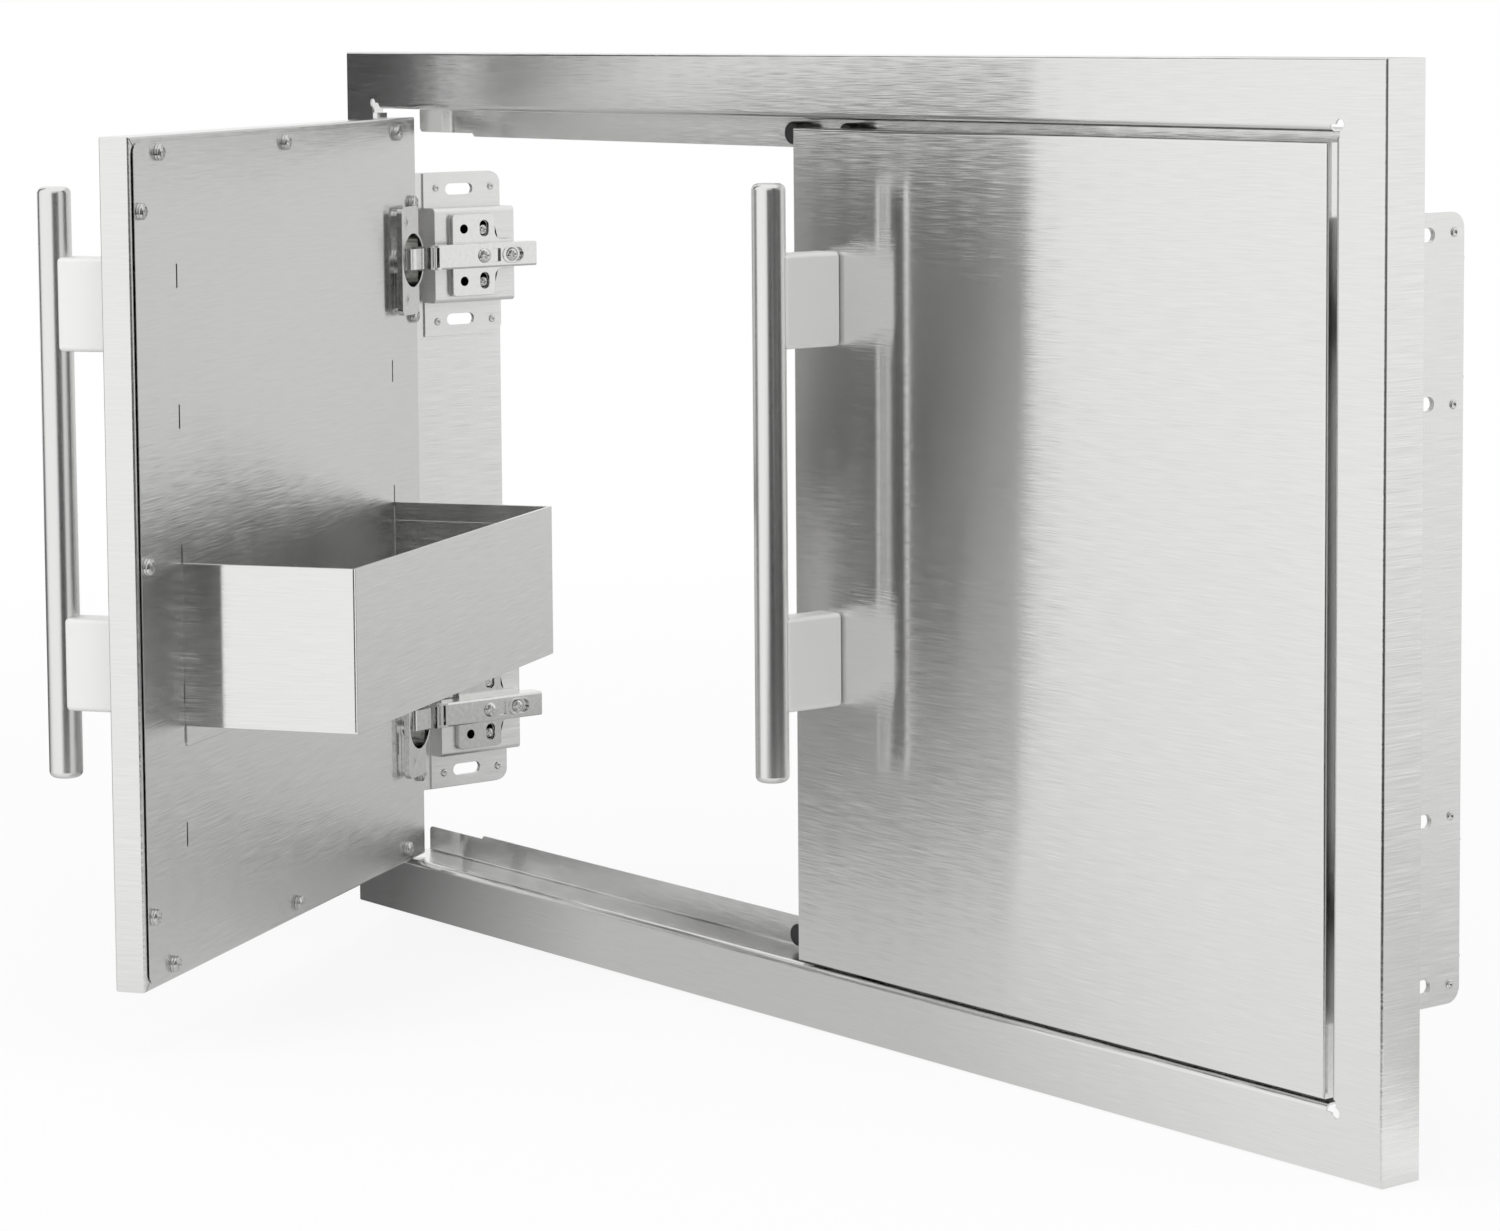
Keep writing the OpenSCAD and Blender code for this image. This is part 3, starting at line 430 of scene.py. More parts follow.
def circle(u: float, v: float, radius: float, steps: int = 48) -> list[Point]:
    """Gives the outline of a circle."""
    angles = [math.tau * step / steps for step in range(steps)]
    return [(u + radius * math.cos(a), v + radius * math.sin(a)) for a in angles]


def quarter_turn(steps: int) -> list[Point]:
    """Gives the cosine and the sine at even steps of a quarter turn, from 0 to 90 degrees."""
    angles = [math.radians(90 * step / steps) for step in range(steps + 1)]
    return [(math.cos(a), math.sin(a)) for a in angles]


def drawn_in(points: list[Point], inset: float, sharpest: float = 0.3) -> list[Point]:
    """Draws a counter-clockwise outline in, or out where the inset is negative.

    Args:
        points: the outline.
        inset: how far each side moves in.
        sharpest: the cosine that limits how far a sharp corner moves.

    Returns:
        The new outline, with as many points.
    """
    moved: list[Point] = []
    for number, here in enumerate(points):
        before, after = Vector(points[number - 1]), Vector(points[(number + 1) % len(points)])
        one, two = (Vector(here) - before), (after - Vector(here))
        first = Vector((-one.y, one.x)).normalized()
        second = Vector((-two.y, two.x)).normalized()
        middle = (first + second).normalized()
        reach = inset / max(middle.dot(first), sharpest)
        moved.append((here[0] + middle.x * reach, here[1] + middle.y * reach))
    return moved


def box_of(points: list[Vector]) -> tuple[Vector, ...]:
    """Gives the low and the high corner of the box round some points."""
    return tuple(Vector([end(p[i] for p in points) for i in range(3)]) for end in (min, max))


class Shape:
    """A mesh under construction, closed from rings of points."""

    def __init__(self) -> None:
        """Starts with nothing."""
        self.mesh = bmesh.new()

    def ring(self, points: list[Vector]) -> list[Corner]:
        """Adds a ring of points."""
        return [self.mesh.verts.new(point) for point in points]

    def wall(self, rings: list[list[Corner]]) -> None:
        """Closes the strips between rings.

        Args:
            rings: the rings, all of the same length.
        """
        for low, high in zip(rings, rings[1:]):
            for number in range(len(low)):
                after = (number + 1) % len(low)
                self.mesh.faces.new((low[number], low[after], high[after], high[number]))

    def cap(self, rings: list[list[Corner]]) -> None:
        """Fills a flat area.

        Args:
            rings: the ring round the area, and the rings round the holes in it.
        """
        if len(rings) == 1:
            self.mesh.faces.new(rings[0])
            return
        corners = [corner for ring in rings for corner in ring]
        for triangle in tessellate_polygon([[corner.co for corner in ring] for ring in rings]):
            self.mesh.faces.new([corners[index] for index in triangle])

    def plate(
        self, outline: list[Point], holes: list[list[Point]], rim: list[Point], hole_rim: list[Point]
    ) -> "Shape":
        """Builds a flat plate in x and z, with its thickness along y.

        Args:
            outline: its outline.
            holes: the outlines of its holes.
            rim: (inset, y) down the outer edge, from one face to the other.
            hole_rim: (inset, y) down the edge of each hole.

        Returns:
            This shape.
        """
        edges = [
            [self.ring([Vector((u, y, v)) for u, v in drawn_in(points, inset)]) for inset, y in steps]
            for points, steps in [(outline, rim), *((hole, hole_rim) for hole in holes)]
        ]
        for rings in edges:
            self.wall(rings)
        self.cap([rings[0] for rings in edges])
        self.cap([rings[-1] for rings in edges])
        return self

    def lathe(self, profile: list[Point], steps: int = 40) -> "Shape":
        """Turns a closed profile of (radius, height), which starts and ends on the z axis.

        Args:
            profile: the points of the profile.
            steps: segments round the axis.

        Returns:
            This shape.
        """
        angles = [math.tau * step / steps for step in range(steps)]
        rings = [
            self.ring([Vector((r * math.cos(a), r * math.sin(a), h)) for a in angles])
            for r, h in profile
        ]
        self.wall(rings)
        bmesh.ops.remove_doubles(self.mesh, verts=self.mesh.verts, dist=WELD)
        return self

    def block(self, low: Vector, high: Vector) -> "Shape":
        """Adds a block.

        Args:
            low: its low corner.
            high: its high corner.

        Returns:
            This shape.
        """
        place = Matrix.Translation((low + high) / 2) @ Matrix.Diagonal((*(high - low), 1))
        bmesh.ops.create_cube(self.mesh, size=1, matrix=place)
        return self

    def move(self, place: Matrix) -> "Shape":
        """Moves the whole shape."""
        bmesh.ops.transform(self.mesh, matrix=place, verts=self.mesh.verts)
        return self

    def round_edges(self, radius: float, steps: int, degrees: float, clamp: bool = True) -> "Shape":
        """Rounds every edge that turns more sharply than an angle.

        Args:
            radius: the width of the rounding on each face.
            steps: its segments.
            degrees: the angle.
            clamp: keeps the rounding within the shortest neighbouring edge.

        Returns:
            This shape.
        """
        sharp = [
            edge
            for edge in self.mesh.edges
            if edge.is_manifold and abs(edge.calc_face_angle_signed(0)) > math.radians(degrees)
        ]
        solid = BVHTree.FromBMesh(self.mesh)
        bmesh.ops.bevel(
            self.mesh,
            geom=sharp,
            offset=radius,
            segments=steps,
            profile=0.5,
            affect="EDGES",
            clamp_overlap=clamp,
        )
        # Where short edges meet, a rounding can overrun its face. Those points go back to the solid.
        for corner in self.mesh.verts:
            nearest, _, _, gap = solid.find_nearest(corner.co)
            if gap > radius * OVERRUN_SHARE:
                corner.co = nearest
        return self

    def cut(self, tool: "Shape") -> "Shape":
        """Takes another shape out of this one.

        Args:
            tool: the other shape, which is used up.

        Returns:
            This shape.
        """
        body, cutter = self.to_object("being_cut"), tool.to_object("cutter")
        change = body.modifiers.new("cut", "BOOLEAN")
        change.object = cutter
        change.solver = "EXACT"
        made = bpy.data.meshes.new_from_object(
            body.evaluated_get(bpy.context.evaluated_depsgraph_get())
        )
        for spare in (body, cutter):
            bpy.data.objects.remove(spare)
        self.mesh = bmesh.new()
        self.mesh.from_mesh(made)
        bmesh.ops.remove_doubles(self.mesh, verts=self.mesh.verts, dist=WELD)
        return self

    def copies(self, places: list[Matrix]) -> "Shape":
        """Copies this shape to each of some places.

        Args:
            places: where the copies go.

        Returns:
            A shape that holds them all.
        """
        one = bpy.data.meshes.new("one")
        bmesh.ops.recalc_face_normals(self.mesh, faces=self.mesh.faces)
        self.mesh.to_mesh(one)
        every = Shape()
        for place in places:
            start = len(every.mesh.verts)
            every.mesh.from_mesh(one)
            every.mesh.verts.ensure_lookup_table()
            bmesh.ops.transform(every.mesh, matrix=place, verts=every.mesh.verts[start:])
        return every

    def to_object(self, name: str) -> bpy.types.Object:
        """Makes the Blender object, with its faces turned out, and uses the shape up.

        Args:
            name: the object's name.

        Returns:
            The object.
        """
        bmesh.ops.recalc_face_normals(self.mesh, faces=self.mesh.faces)
        mesh = bpy.data.meshes.new(name)
        self.mesh.to_mesh(mesh)
        self.mesh.free()
        return new_object(name, mesh)


def dress(
    shape: Shape, name: str, node: str, finish: Material, space: Matrix | None = None
) -> None:
    """Makes a shape into a piece of the object, in place of the node that it stands for.

    Args:
        shape: the shape.
        name: the piece's name.
        node: the node that it replaces.
        finish: its material.
        space: where the shape's own coordinates lie in the frame's.
    """
    piece = shape.move(space or Matrix()).to_object(name)
    for face in piece.data.polygons:
        face.use_smooth = True
    piece.modifiers.new("even_normals", "WEIGHTED_NORMAL").keep_sharp = False
    piece.data.materials.append(finish)
    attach(piece, frame["nodes"][node]["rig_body"])
    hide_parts(node)
    LOG.info("%s: %d faces", name, len(piece.data.polygons))


def welded(node: str) -> Shape:
    """Copies a node's mesh, with its doubled points welded and its flat faces joined.

    Args:
        node: the node's name.

    Returns:
        The shape.
    """
    shape = Shape()
    mesh, flat = shape.mesh, math.radians(FLAT_DEGREES)
    mesh.from_mesh(frame["nodes"][node].data)
    bmesh.ops.remove_doubles(mesh, verts=mesh.verts, dist=WELD)
    bmesh.ops.dissolve_limit(mesh, angle_limit=flat, verts=mesh.verts, edges=mesh.edges)
    return shape


def solids_of(node: str) -> list[list[Vector]]:
    """Splits a node into its separate solids.

    Args:
        node: the node's name.

    Returns:
        The points of each solid.
    """
    shape = welded(node)
    left = set(shape.mesh.verts)
    solids: list[list[Vector]] = []
    while left:
        reached = [left.pop()]
        for point in reached:
            for edge in point.link_edges:
                other = edge.other_vert(point)
                if other in left:
                    left.remove(other)
                    reached.append(other)
        solids.append([point.co.copy() for point in reached])
    shape.mesh.free()
    return solids


@dataclass(frozen=True)
class Head:
    """A screw's head with its cross recess, drawn upward from its seat.

    The bare numbers in its outlines are shares of the radius, height or washer before them.
    """

    diameter: float
    height: float
    shank: Point
    washer: float = 0.0
    sunk: bool = False
    rim_drop: float = 0.1 * MM
    dish: float = 0.15 * MM
    # The washer's edge, from its foot to its top.
    washer_edge: tuple[Point, ...] = ((0.98, 0.0), (1.01, 0.3), (0.98, 0.75), (0.84, 1.0))
    cross_share: float = 0.6
    arm_share: float = 0.15

    def _profile(self) -> list[Point]:
        """Draws the screw from the tip of its shank to the top of its head.

        Returns:
            Points of (radius, height).
        """
        radius, base = self.diameter / 2, self.washer
        thick, length = self.shank[0] / 2, self.shank[1]
        stem = [(0.0, -length), (thick * 0.7, -length), (thick, -length + thick * 0.5)]
        if self.sunk:
            rim = [(thick, thick - radius), (radius, -self.rim_drop), (radius * 0.97, 0.0)]
            return [*stem, *rim, (radius * 0.6, -self.dish * 0.8), (0.0, -self.dish)]
        edge = base + self.height * 0.22
        dome = [(radius * s, edge + (self.height - edge) * c) for c, s in reversed(quarter_turn(10))]
        foot = [(thick, 0.0), (radius * 0.9, 0.0)]
        if self.washer:
            foot[1:] = [(radius * out, base * up) for out, up in self.washer_edge]
        return [*stem, *foot, (radius * 0.97, base + self.height * 0.05), *dome]

    def _cross(self, top: float) -> Shape:
        """Builds the punch of the cross recess.

        Args:
            top: the height of the head's top.

        Returns:
            The punch, which stands in the head and above it.
        """
        depth = min(self.diameter * 0.2, (self.height or self.diameter) * 0.75)
        arm, reach = self.diameter * self.arm_share / 2, self.diameter * self.cross_share / 2
        quarter = [(reach, -arm, arm * 0.6), (reach, arm, arm * 0.6), (arm, arm, arm * 0.5)]
        corners: list[Place] = []
        for _ in range(4):
            corners += quarter
            quarter = [(-v, u, radius) for u, v, radius in quarter]
        outline = rounded_outline(corners, 3)
        punch = Shape()
        rings = [
            punch.ring([Vector((u * share, v * share, height)) for u, v in outline])
            for share, height in ((0.45, top - depth), (1.0, top - depth * 0.1), (1.06, top + depth))
        ]
        punch.wall(rings)
        punch.cap([rings[0]])
        punch.cap([rings[-1]])
        return punch

    def shape(self) -> Shape:
        """Turns the screw and cuts its cross."""
        profile = self._profile()
        return Shape().lathe(profile).cut(self._cross(profile[-1][1]))


def seats(node: str, axis: Vector, height: float, wide: Point | None = None) -> list[Matrix]:
    """Finds where the heads of a node's screws sit.

    Args:
        node: the node that holds the screws.
        axis: the way the heads point.
        height: the height of a head.
        wide: takes only the screws whose head is as wide as this, from and to.

    Returns:
        A place for each head, with its z along the axis.
    """
    turn = axis.to_track_quat("Z", "Y").to_matrix()
    back = turn.transposed()
    found: list[Matrix] = []
    for points in solids_of(node):
        low, high = box_of([back @ point for point in points])
        if wide and not wide[0] <= high.y - low.y <= wide[1]:
            continue
        seat = Vector(((low.x + high.x) / 2, (low.y + high.y) / 2, high.z - height))
        found.append(Matrix.Translation(turn @ seat) @ turn.to_4x4())
    return found


@dataclass
class EasedPart:
    """A part whose solid is right: its sharp edges are eased as on the tumbled real one."""

    node: str
    radius_mm: float
    clamp: bool = False
    angle: float = 40.0
    steps: int = 2

    def build(self, finish: Material) -> None:
        """Builds the piece that stands for the node."""
        shape = welded(self.node).round_edges(self.radius_mm * MM, self.steps, self.angle, self.clamp)
        dress(shape, f"{self.node}_eased", self.node, finish)


@dataclass
class FaceFrame:
    """The frame, folded from one sheet."""

    edge_mm: float = 0.15

    def build(self, finishes: "Finishes") -> None:
        """Builds the frame."""
        EasedPart("face_frame", self.edge_mm).build(finishes.sheet)


@dataclass
class SideIron:
    """The side plates, the hinge brackets and the rivets that join them."""

    plate_edge_mm: float = 0.2
    bracket_edge_mm: float = 0.15
    rivet_r: float = 2.3 * MM
    rivet_h: float = 0.7 * MM
    rivet_steps: int = 28
    grip: float = 1.35 * MM
    # The dimpled head: shares of its radius out, and of its height down from its top.
    rivet_head: tuple[Point, ...] = (
        (0.62, 1.0), (0.98, 0.92), (1.0, 0.6), (0.86, 0.12),
        (0.6, 0.0), (0.42, 0.15), (0.3, 0.7), (0.0, 0.9),
    )

    def build(self, finishes: "Finishes") -> None:
        """Builds every plate, bracket and rivet.

        Args:
            finishes: the object's finishes.
        """
        for side in Side:
            EasedPart(f"{side.value}_side_plate", self.plate_edge_mm).build(finishes.bracket)
            for level in Level:
                name = f"{side.value}_{level.value}_hinge_bracket"
                EasedPart(name, self.bracket_edge_mm).build(finishes.bracket)
        self._rivets(finishes.nickel)

    def _rivets(self, finish: Material) -> None:
        """Builds the rivets, with a dimpled head on both ends.

        Args:
            finish: their material.
        """
        top = self.grip + self.rivet_h
        head = [(self.rivet_r * out, top - self.rivet_h * down) for out, down in self.rivet_head]
        profile = [(u, -v) for u, v in reversed(head)] + head
        across = Matrix.Rotation(math.pi / 2, 4, "Y")
        boxes = [box_of(points) for points in solids_of("bracket_rivets")]
        middles = [Matrix.Translation((low + high) / 2) @ across for low, high in boxes]
        rivets = Shape().lathe(profile, self.rivet_steps).copies(middles)
        dress(rivets, "dimpled_rivets", "bracket_rivets", finish)


@dataclass
class HingeSet:
    """The hinge arms, their mounting plates, links and screws."""

    plate_edge_mm: float = 0.3
    arm_edge_mm: float = 0.18
    link_edge_mm: float = 0.2
    plate_screw: Head = Head(6.0 * MM, 1.6 * MM, (3.8 * MM, 9.0 * MM), arm_share=0.16)
    front_screw: Head = Head(9.0 * MM, 1.8 * MM, (4.3 * MM, 7.2 * MM), arm_share=0.14)
    rear_screw: Head = Head(8.0 * MM, 1.8 * MM, (4.3 * MM, 6.0 * MM), arm_share=0.15)
    # The two screws of an arm are told apart by the width of their heads.
    front_width: Point = (8.5 * MM, 9.5 * MM)
    rear_width: Point = (7.5 * MM, 8.4 * MM)

    def build(self, finishes: "Finishes") -> None:
        """Builds the hinges of both doors.

        Args:
            finishes: the object's finishes.
        """
        for side in Side:
            for level in Level:
                stem = f"{side.value}_{level.value}"
                EasedPart(f"{stem}_mounting_plate", self.plate_edge_mm).build(finishes.nickel)
                EasedPart(f"{stem}_hinge_arm", self.arm_edge_mm).build(finishes.nickel)
            EasedPart(f"{side.value}_hinge_links", self.link_edge_mm, clamp=True).build(finishes.nickel)
        self._screws("mounting_plate_screws", [(self.plate_screw, None)], finishes.nickel)
        arm_screws = [(self.front_screw, self.front_width), (self.rear_screw, self.rear_width)]
        self._screws("hinge_arm_screws", arm_screws, finishes.nickel)

    def _screws(self, node: str, kinds: list[tuple[Head, Point | None]], finish: Material) -> None:
        """Builds the screws of a node, whose heads point to the middle of the opening.

        Args:
            node: the node that holds the screws.
            kinds: each kind of head, with how wide it is in the node.
            finish: their material.
        """
        every = Shape()
        for head, wide in kinds:
            places = [
                seat
                for inboard in (Vector((1, 0, 0)), Vector((-1, 0, 0)))
                for seat in seats(node, inboard, head.height, wide)
                if seat.translation.x * inboard.x < 0
            ]
            one = bpy.data.meshes.new(node)
            head.shape().copies(places).mesh.to_mesh(one)
            every.mesh.from_mesh(one)
        dress(every, f"{node}_crossed", node, finish)


@dataclass
class Door:
    """A door: its folded skin, its back panel with slits, its screws, its cups and its handle."""

    side: Side
    open_degrees: float
    axis_x: float = 390 * MM
    face_y: float = -26 * MM
    free_edge: float = 1.5 * MM
    width: float = 393.5 * MM
    height: float = 450.5 * MM
    middle_z: float = -1.75 * MM
    skin_depth: float = 17.5 * MM
    thickness: float = 18.5 * MM
    panel_inset: float = 3.5 * MM
    panel_corner: float = 6 * MM
    panel_gap: float = 0.55 * MM
    panel_step: float = 1.6 * MM
    edge: float = 0.14 * MM
    edge_steps: int = 2
    edge_angle: float = 60.0
    slit_from_free: float = 53 * MM
    slit_from_hinge: float = 43.5 * MM
    slit_width: float = 1.5 * MM
    slit_height: float = 13 * MM
    slit_corner: float = 0.25 * MM
    slit_pitch: float = 75 * MM
    slit_rows: tuple[int, ...] = (-2, -1, 0, 1, 2)
    hinge_half_pitch: float = 140 * MM
    cup_from_hinge: float = 22.5 * MM
    cup_hole_r: float = 17.7 * MM
    cup_edge_mm: float = 0.2
    mitre_width: float = 0.7 * MM
    mitre_start: float = 1.2 * MM
    mitre_length: float = 15 * MM
    mitre_depth: float = 3 * MM
    mitre_over: float = 1 * MM
    panel_screw: Head = Head(9.0 * MM, 4.0 * MM, (4.0 * MM, 9.0 * MM), washer=1.0 * MM)
    cup_screw: Head = Head(7.5 * MM, 0.0, (3.6 * MM, 12.0 * MM), sunk=True)
    bar_from_free: float = 32 * MM
    bar_standoff: float = 42 * MM
    bar_lift: float = 40 * MM
    bar_length: float = 316 * MM
    bar_r: float = 8.97 * MM
    bar_end_r: float = 3.5 * MM
    bar_steps: int = 96
    post_half_pitch: float = 96 * MM
    post_height: float = 50 * MM
    post_width: float = 16.5 * MM
    post_length: float = 37.7 * MM
    post_r: float = 2.6 * MM
    post_steps: int = 8
    post_angle: float = 30.0

    def space(self) -> Matrix:
        """Gives the place of the door's own coordinates: x from the middle, y back, z up.

        Returns:
            Their place in the frame's, with the door as far open as it is at rest.
        """
        move = Matrix.Translation((0, self.face_y, 0))
        if self.side is Side.RIGHT:
            return move
        pivot = Matrix.Translation((self.axis_x, 0, 0))
        turn = Matrix.Rotation(math.radians(self.open_degrees), 4, "Z")
        return move @ Matrix.Diagonal((-1, 1, 1, 1)) @ pivot @ turn @ pivot.inverted()

    def build(self, finishes: "Finishes") -> None:
        """Builds every piece of the door.

        Args:
            finishes: the object's finishes.
        """
        self._skin(finishes.sheet)
        self._panel(finishes.panel)
        self._screws("panel_screws", self.panel_screw, finishes.screw)
        self._screws("cup_screws", self.cup_screw, finishes.nickel)
        for level in Level:
            cup = f"{self.side.value}_{level.value}_hinge_cup"
            EasedPart(cup, self.cup_edge_mm).build(finishes.nickel)
        self._handle(finishes)

    def _skin(self, finish: Material) -> None:
        """Eases the skin's cut edges and opens the mitres in the corners of its rear flange.

        Args:
            finish: its material.
        """
        node = f"{self.side.value}_door_skin"
        shape = welded(node).move(self.space().inverted())
        shape.round_edges(self.edge, self.edge_steps, self.edge_angle, False)
        near, far = self.free_edge, self.free_edge + self.width
        low, high = self.middle_z - self.height / 2, self.middle_z + self.height / 2
        half = self.mitre_width / 2
        start = Vector((self.mitre_start, self.skin_depth - self.mitre_depth, -half))
        end = Vector((self.mitre_length, self.skin_depth + self.mitre_over, half))
        for x, z, turn in ((near, low, 45), (near, high, -45), (far, low, 135), (far, high, -135)):
            aim = Matrix.Translation((x, 0, z)) @ Matrix.Rotation(-math.radians(turn), 4, "Y")
            shape.cut(Shape().block(start, end).move(aim))
        dress(shape, f"{node}_folded", node, finish, self.space())

    def _panel(self, finish: Material) -> None:
        """Builds the back panel, which stands a little off the skin's flange along its edge.

        Args:
            finish: its material.
        """
        node = f"{self.side.value}_back_panel"
        inset = self.panel_inset
        outline = rectangle(
            (self.free_edge + inset, self.middle_z - self.height / 2 + inset),
            (self.free_edge + self.width - inset, self.middle_z + self.height / 2 - inset),
            self.panel_corner,
        )
        holes = []
        for x in (self.slit_from_free, self.width - self.slit_from_hinge):
            left = self.free_edge + x - self.slit_width / 2
            for row in self.slit_rows:
                foot = self.middle_z + row * self.slit_pitch - self.slit_height / 2
                high = (left + self.slit_width, foot + self.slit_height)
                holes.append(rectangle((left, foot), high, self.slit_corner))
        cup_x = self.free_edge + self.width - self.cup_from_hinge
        for sign in (-1, 1):
            holes.append(circle(cup_x, self.middle_z + sign * self.hinge_half_pitch, self.cup_hole_r))
        front, back, edge = self.skin_depth, self.thickness, self.edge
        rim = [
            (edge, back),
            (edge * 0.3, back - edge * 0.3),
            (0.0, back - edge),
            (0.0, front + self.panel_gap),
            (self.panel_step, front + self.panel_gap),
            (self.panel_step, front),
        ]
        hole_rim = [(-edge, back), (0.0, back - edge), (0.0, front)]
        shape = Shape().plate(outline, holes, rim, hole_rim)
        dress(shape, f"{node}_slit", node, finish, self.space())

    def _screws(self, kind: str, head: Head, finish: Material) -> None:
        """Builds one kind of the door's screws, whose heads point back.

        Args:
            kind: the end of their node's name.
            head: their head.
            finish: their material.
        """
        node = f"{self.side.value}_{kind}"
        places = seats(node, self.space().to_3x3() @ Vector((0, 1, 0)), head.height)
        dress(head.shape().copies(places), f"{node}_crossed", node, finish)

    def _handle(self, finishes: "Finishes") -> None:
        """Builds the bar and its two posts, which are hollowed to fit it.

        Args:
            finishes: the object's finishes.
        """
        centre = Vector(
            (self.free_edge + self.bar_from_free, -self.bar_standoff, self.middle_z + self.bar_lift)
        )
        half, r, end = self.bar_length / 2, self.bar_r, self.bar_end_r
        arc = [(r - end + end * c, half - end + end * s) for c, s in quarter_turn(8)]
        profile = [(0.0, -half)] + [(u, -v) for u, v in reversed(arc)] + arc + [(0.0, half)]
        bar = Shape().lathe(profile, self.bar_steps)
        node = f"{self.side.value}_handle_bar"
        dress(bar, f"{node}_turned", node, finishes.bar, self.space() @ Matrix.Translation(centre))
        corner = Vector((self.post_width / 2, 0, self.post_height / 2))
        foot = Vector((-corner.x, -self.post_length, -corner.z))
        reach = self.post_height
        tube = [(0.0, -reach), (r, -reach), (r, reach), (0.0, reach)]
        for level, sign in ((Level.UPPER, 1), (Level.LOWER, -1)):
            post = Shape().block(foot, corner).round_edges(self.post_r, self.post_steps, self.post_angle)
            out = Matrix.Translation((0, -self.bar_standoff, 0))
            post.cut(Shape().lathe(tube, self.bar_steps).move(out))
            node = f"{self.side.value}_handle_{level.value}_post"
            place = Matrix.Translation((centre.x, 0, centre.z + sign * self.post_half_pitch))
            dress(post, f"{node}_cast", node, finishes.post, self.space() @ place)


@dataclass
class Tray:
    """The tray that hangs in the slits of the left door."""

    edge_mm: float = 0.3

    def build(self, finishes: "Finishes") -> None:
        """Builds the tray."""
        EasedPart("left_door_tray", self.edge_mm).build(finishes.sheet)


def studio_sheet(name: str, corners: list[Place], paper: Material) -> bpy.types.Object:
    """Makes a flat sheet of the studio, which isn't part of the object.

    Args:
        name: its name.
        corners: its four corners, in order.
        paper: its material.

    Returns:
        The sheet.
    """
    mesh = bpy.data.meshes.new(name)
    mesh.from_pydata(corners, [], [(0, 1, 2, 3)])
    mesh.materials.append(paper)
    sheet = new_object(name, mesh)
    sheet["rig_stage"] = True
    return sheet


@dataclass(frozen=True)
class Card:
    """A flat reflector of the studio. Only reflections show it, and it casts no shadow.

    Its paper shades from tone to tone, each at its share of the card's width, or of its height
    where it is shaded upward. A card that lies down covers the floor for reflections only, and
    the last number of its centre is its height above the floor.
    """

    name: str
    centre: Place
    size: Point
    turn_degrees: float
    tones: tuple[Point, ...]
    upward: bool = False
    lying: bool = False

    def build(self, floor: float) -> None:
        """Builds the card.

        Args:
            floor: the height of the floor.
        """
        x, z = self.size[0] / 2, self.size[1] / 2
        corners = [(-x, 0.0, -z), (x, 0.0, -z), (x, 0.0, z), (-x, 0.0, z)]
        card = studio_sheet(self.name, corners, self._paper())
        card.location = self.centre
        card.rotation_euler.z = math.radians(self.turn_degrees)
        if self.lying:
            card.location.z += floor
            card.rotation_euler.x = math.pi / 2
        card.visible_camera = False
        card.visible_diffuse = False
        card.visible_shadow = False

    def _paper(self) -> Material:
        """Builds the card's shaded paper.

        Returns:
            The new material.
        """
        made, tree = new_material(self.name)
        tree.nodes.clear()
        place = add_node(tree, "TexCoord").outputs["Generated"]
        split = add_node(tree, "SeparateXYZ", {0: place})
        ramp = add_node(tree, "ValToRGB", {0: split.outputs["Z" if self.upward else "X"]})
        stops = ramp.color_ramp.elements
        for number, (at, tone) in enumerate(self.tones):
            stop = stops[number] if number < len(stops) else stops.new(at)
            stop.position = at
            stop.color = (tone, tone, tone, 1)
        paper = add_node(tree, "Emission", {"Color": ramp})
        add_node(tree, "OutputMaterial", {"Surface": paper})
        return made


@dataclass(frozen=True)
class Softbox:
    """A soft lamp."""

    name: str
    place: Place
    size: float
    watts: float

    def build(self) -> None:
        """Builds the lamp and aims it at the middle of the object."""
        lamp = bpy.data.lights.new(self.name, "AREA")
        lamp.energy = self.watts
        lamp.size = self.size
        made = new_object(self.name, lamp)
        made.visible_glossy = False
        made.location = self.place
        made.rotation_mode = "QUATERNION"
        made.rotation_quaternion = Vector(self.place).to_track_quat("Z", "Y")


LAMPS = (
    Softbox("overhead_softbox", (0.3, -0.6, 2.4), 2.0, 22.0),
    Softbox("front_softbox", (-0.9, -2.6, 1.4), 1.6, 12.0),
    Softbox("right_softbox", (2.4, -1.0, 0.7), 1.2, 12.0),
)

# The studio that the steel mirrors. Each tone stands at its share of the card's width or height.
FAR_LEFT = (
    (0.0, 1.0), (0.11, 0.97), (0.16, 0.9), (0.31, 0.82), (0.37, 0.5), (0.388, 0.17),
    (0.4, 0.17), (0.404, 0.95), (0.418, 0.95), (0.421, 0.05), (1.0, 0.05),
)
LEFT_FLOOR = (
    (0.0, 1.0), (0.15, 0.96), (0.29, 0.84), (0.35, 0.6),
    (0.42, 0.56), (0.45, 0.3), (0.47, 0.12), (1.0, 0.1),
)
CAMERA_SIDE = ((0.0, 0.03), (0.18, 0.04), (0.3, 0.22), (0.38, 0.6), (1.0, 0.8))
CAMERA_FLOOR = ((0.0, 0.03), (1.0, 0.03))
RIGHT_SIDE = ((0.0, 0.06), (0.5, 0.14), (0.7, 0.3), (1.0, 0.36))
REAR = ((0.0, 0.66), (1.0, 0.72))
REAR_FLOOR = ((0.0, 0.74), (1.0, 0.5))
RIGHT_REAR = ((0.0, 1.0), (1.0, 1.0))
RIGHT_REAR_FLOOR = ((0.0, 0.62), (1.0, 0.95))
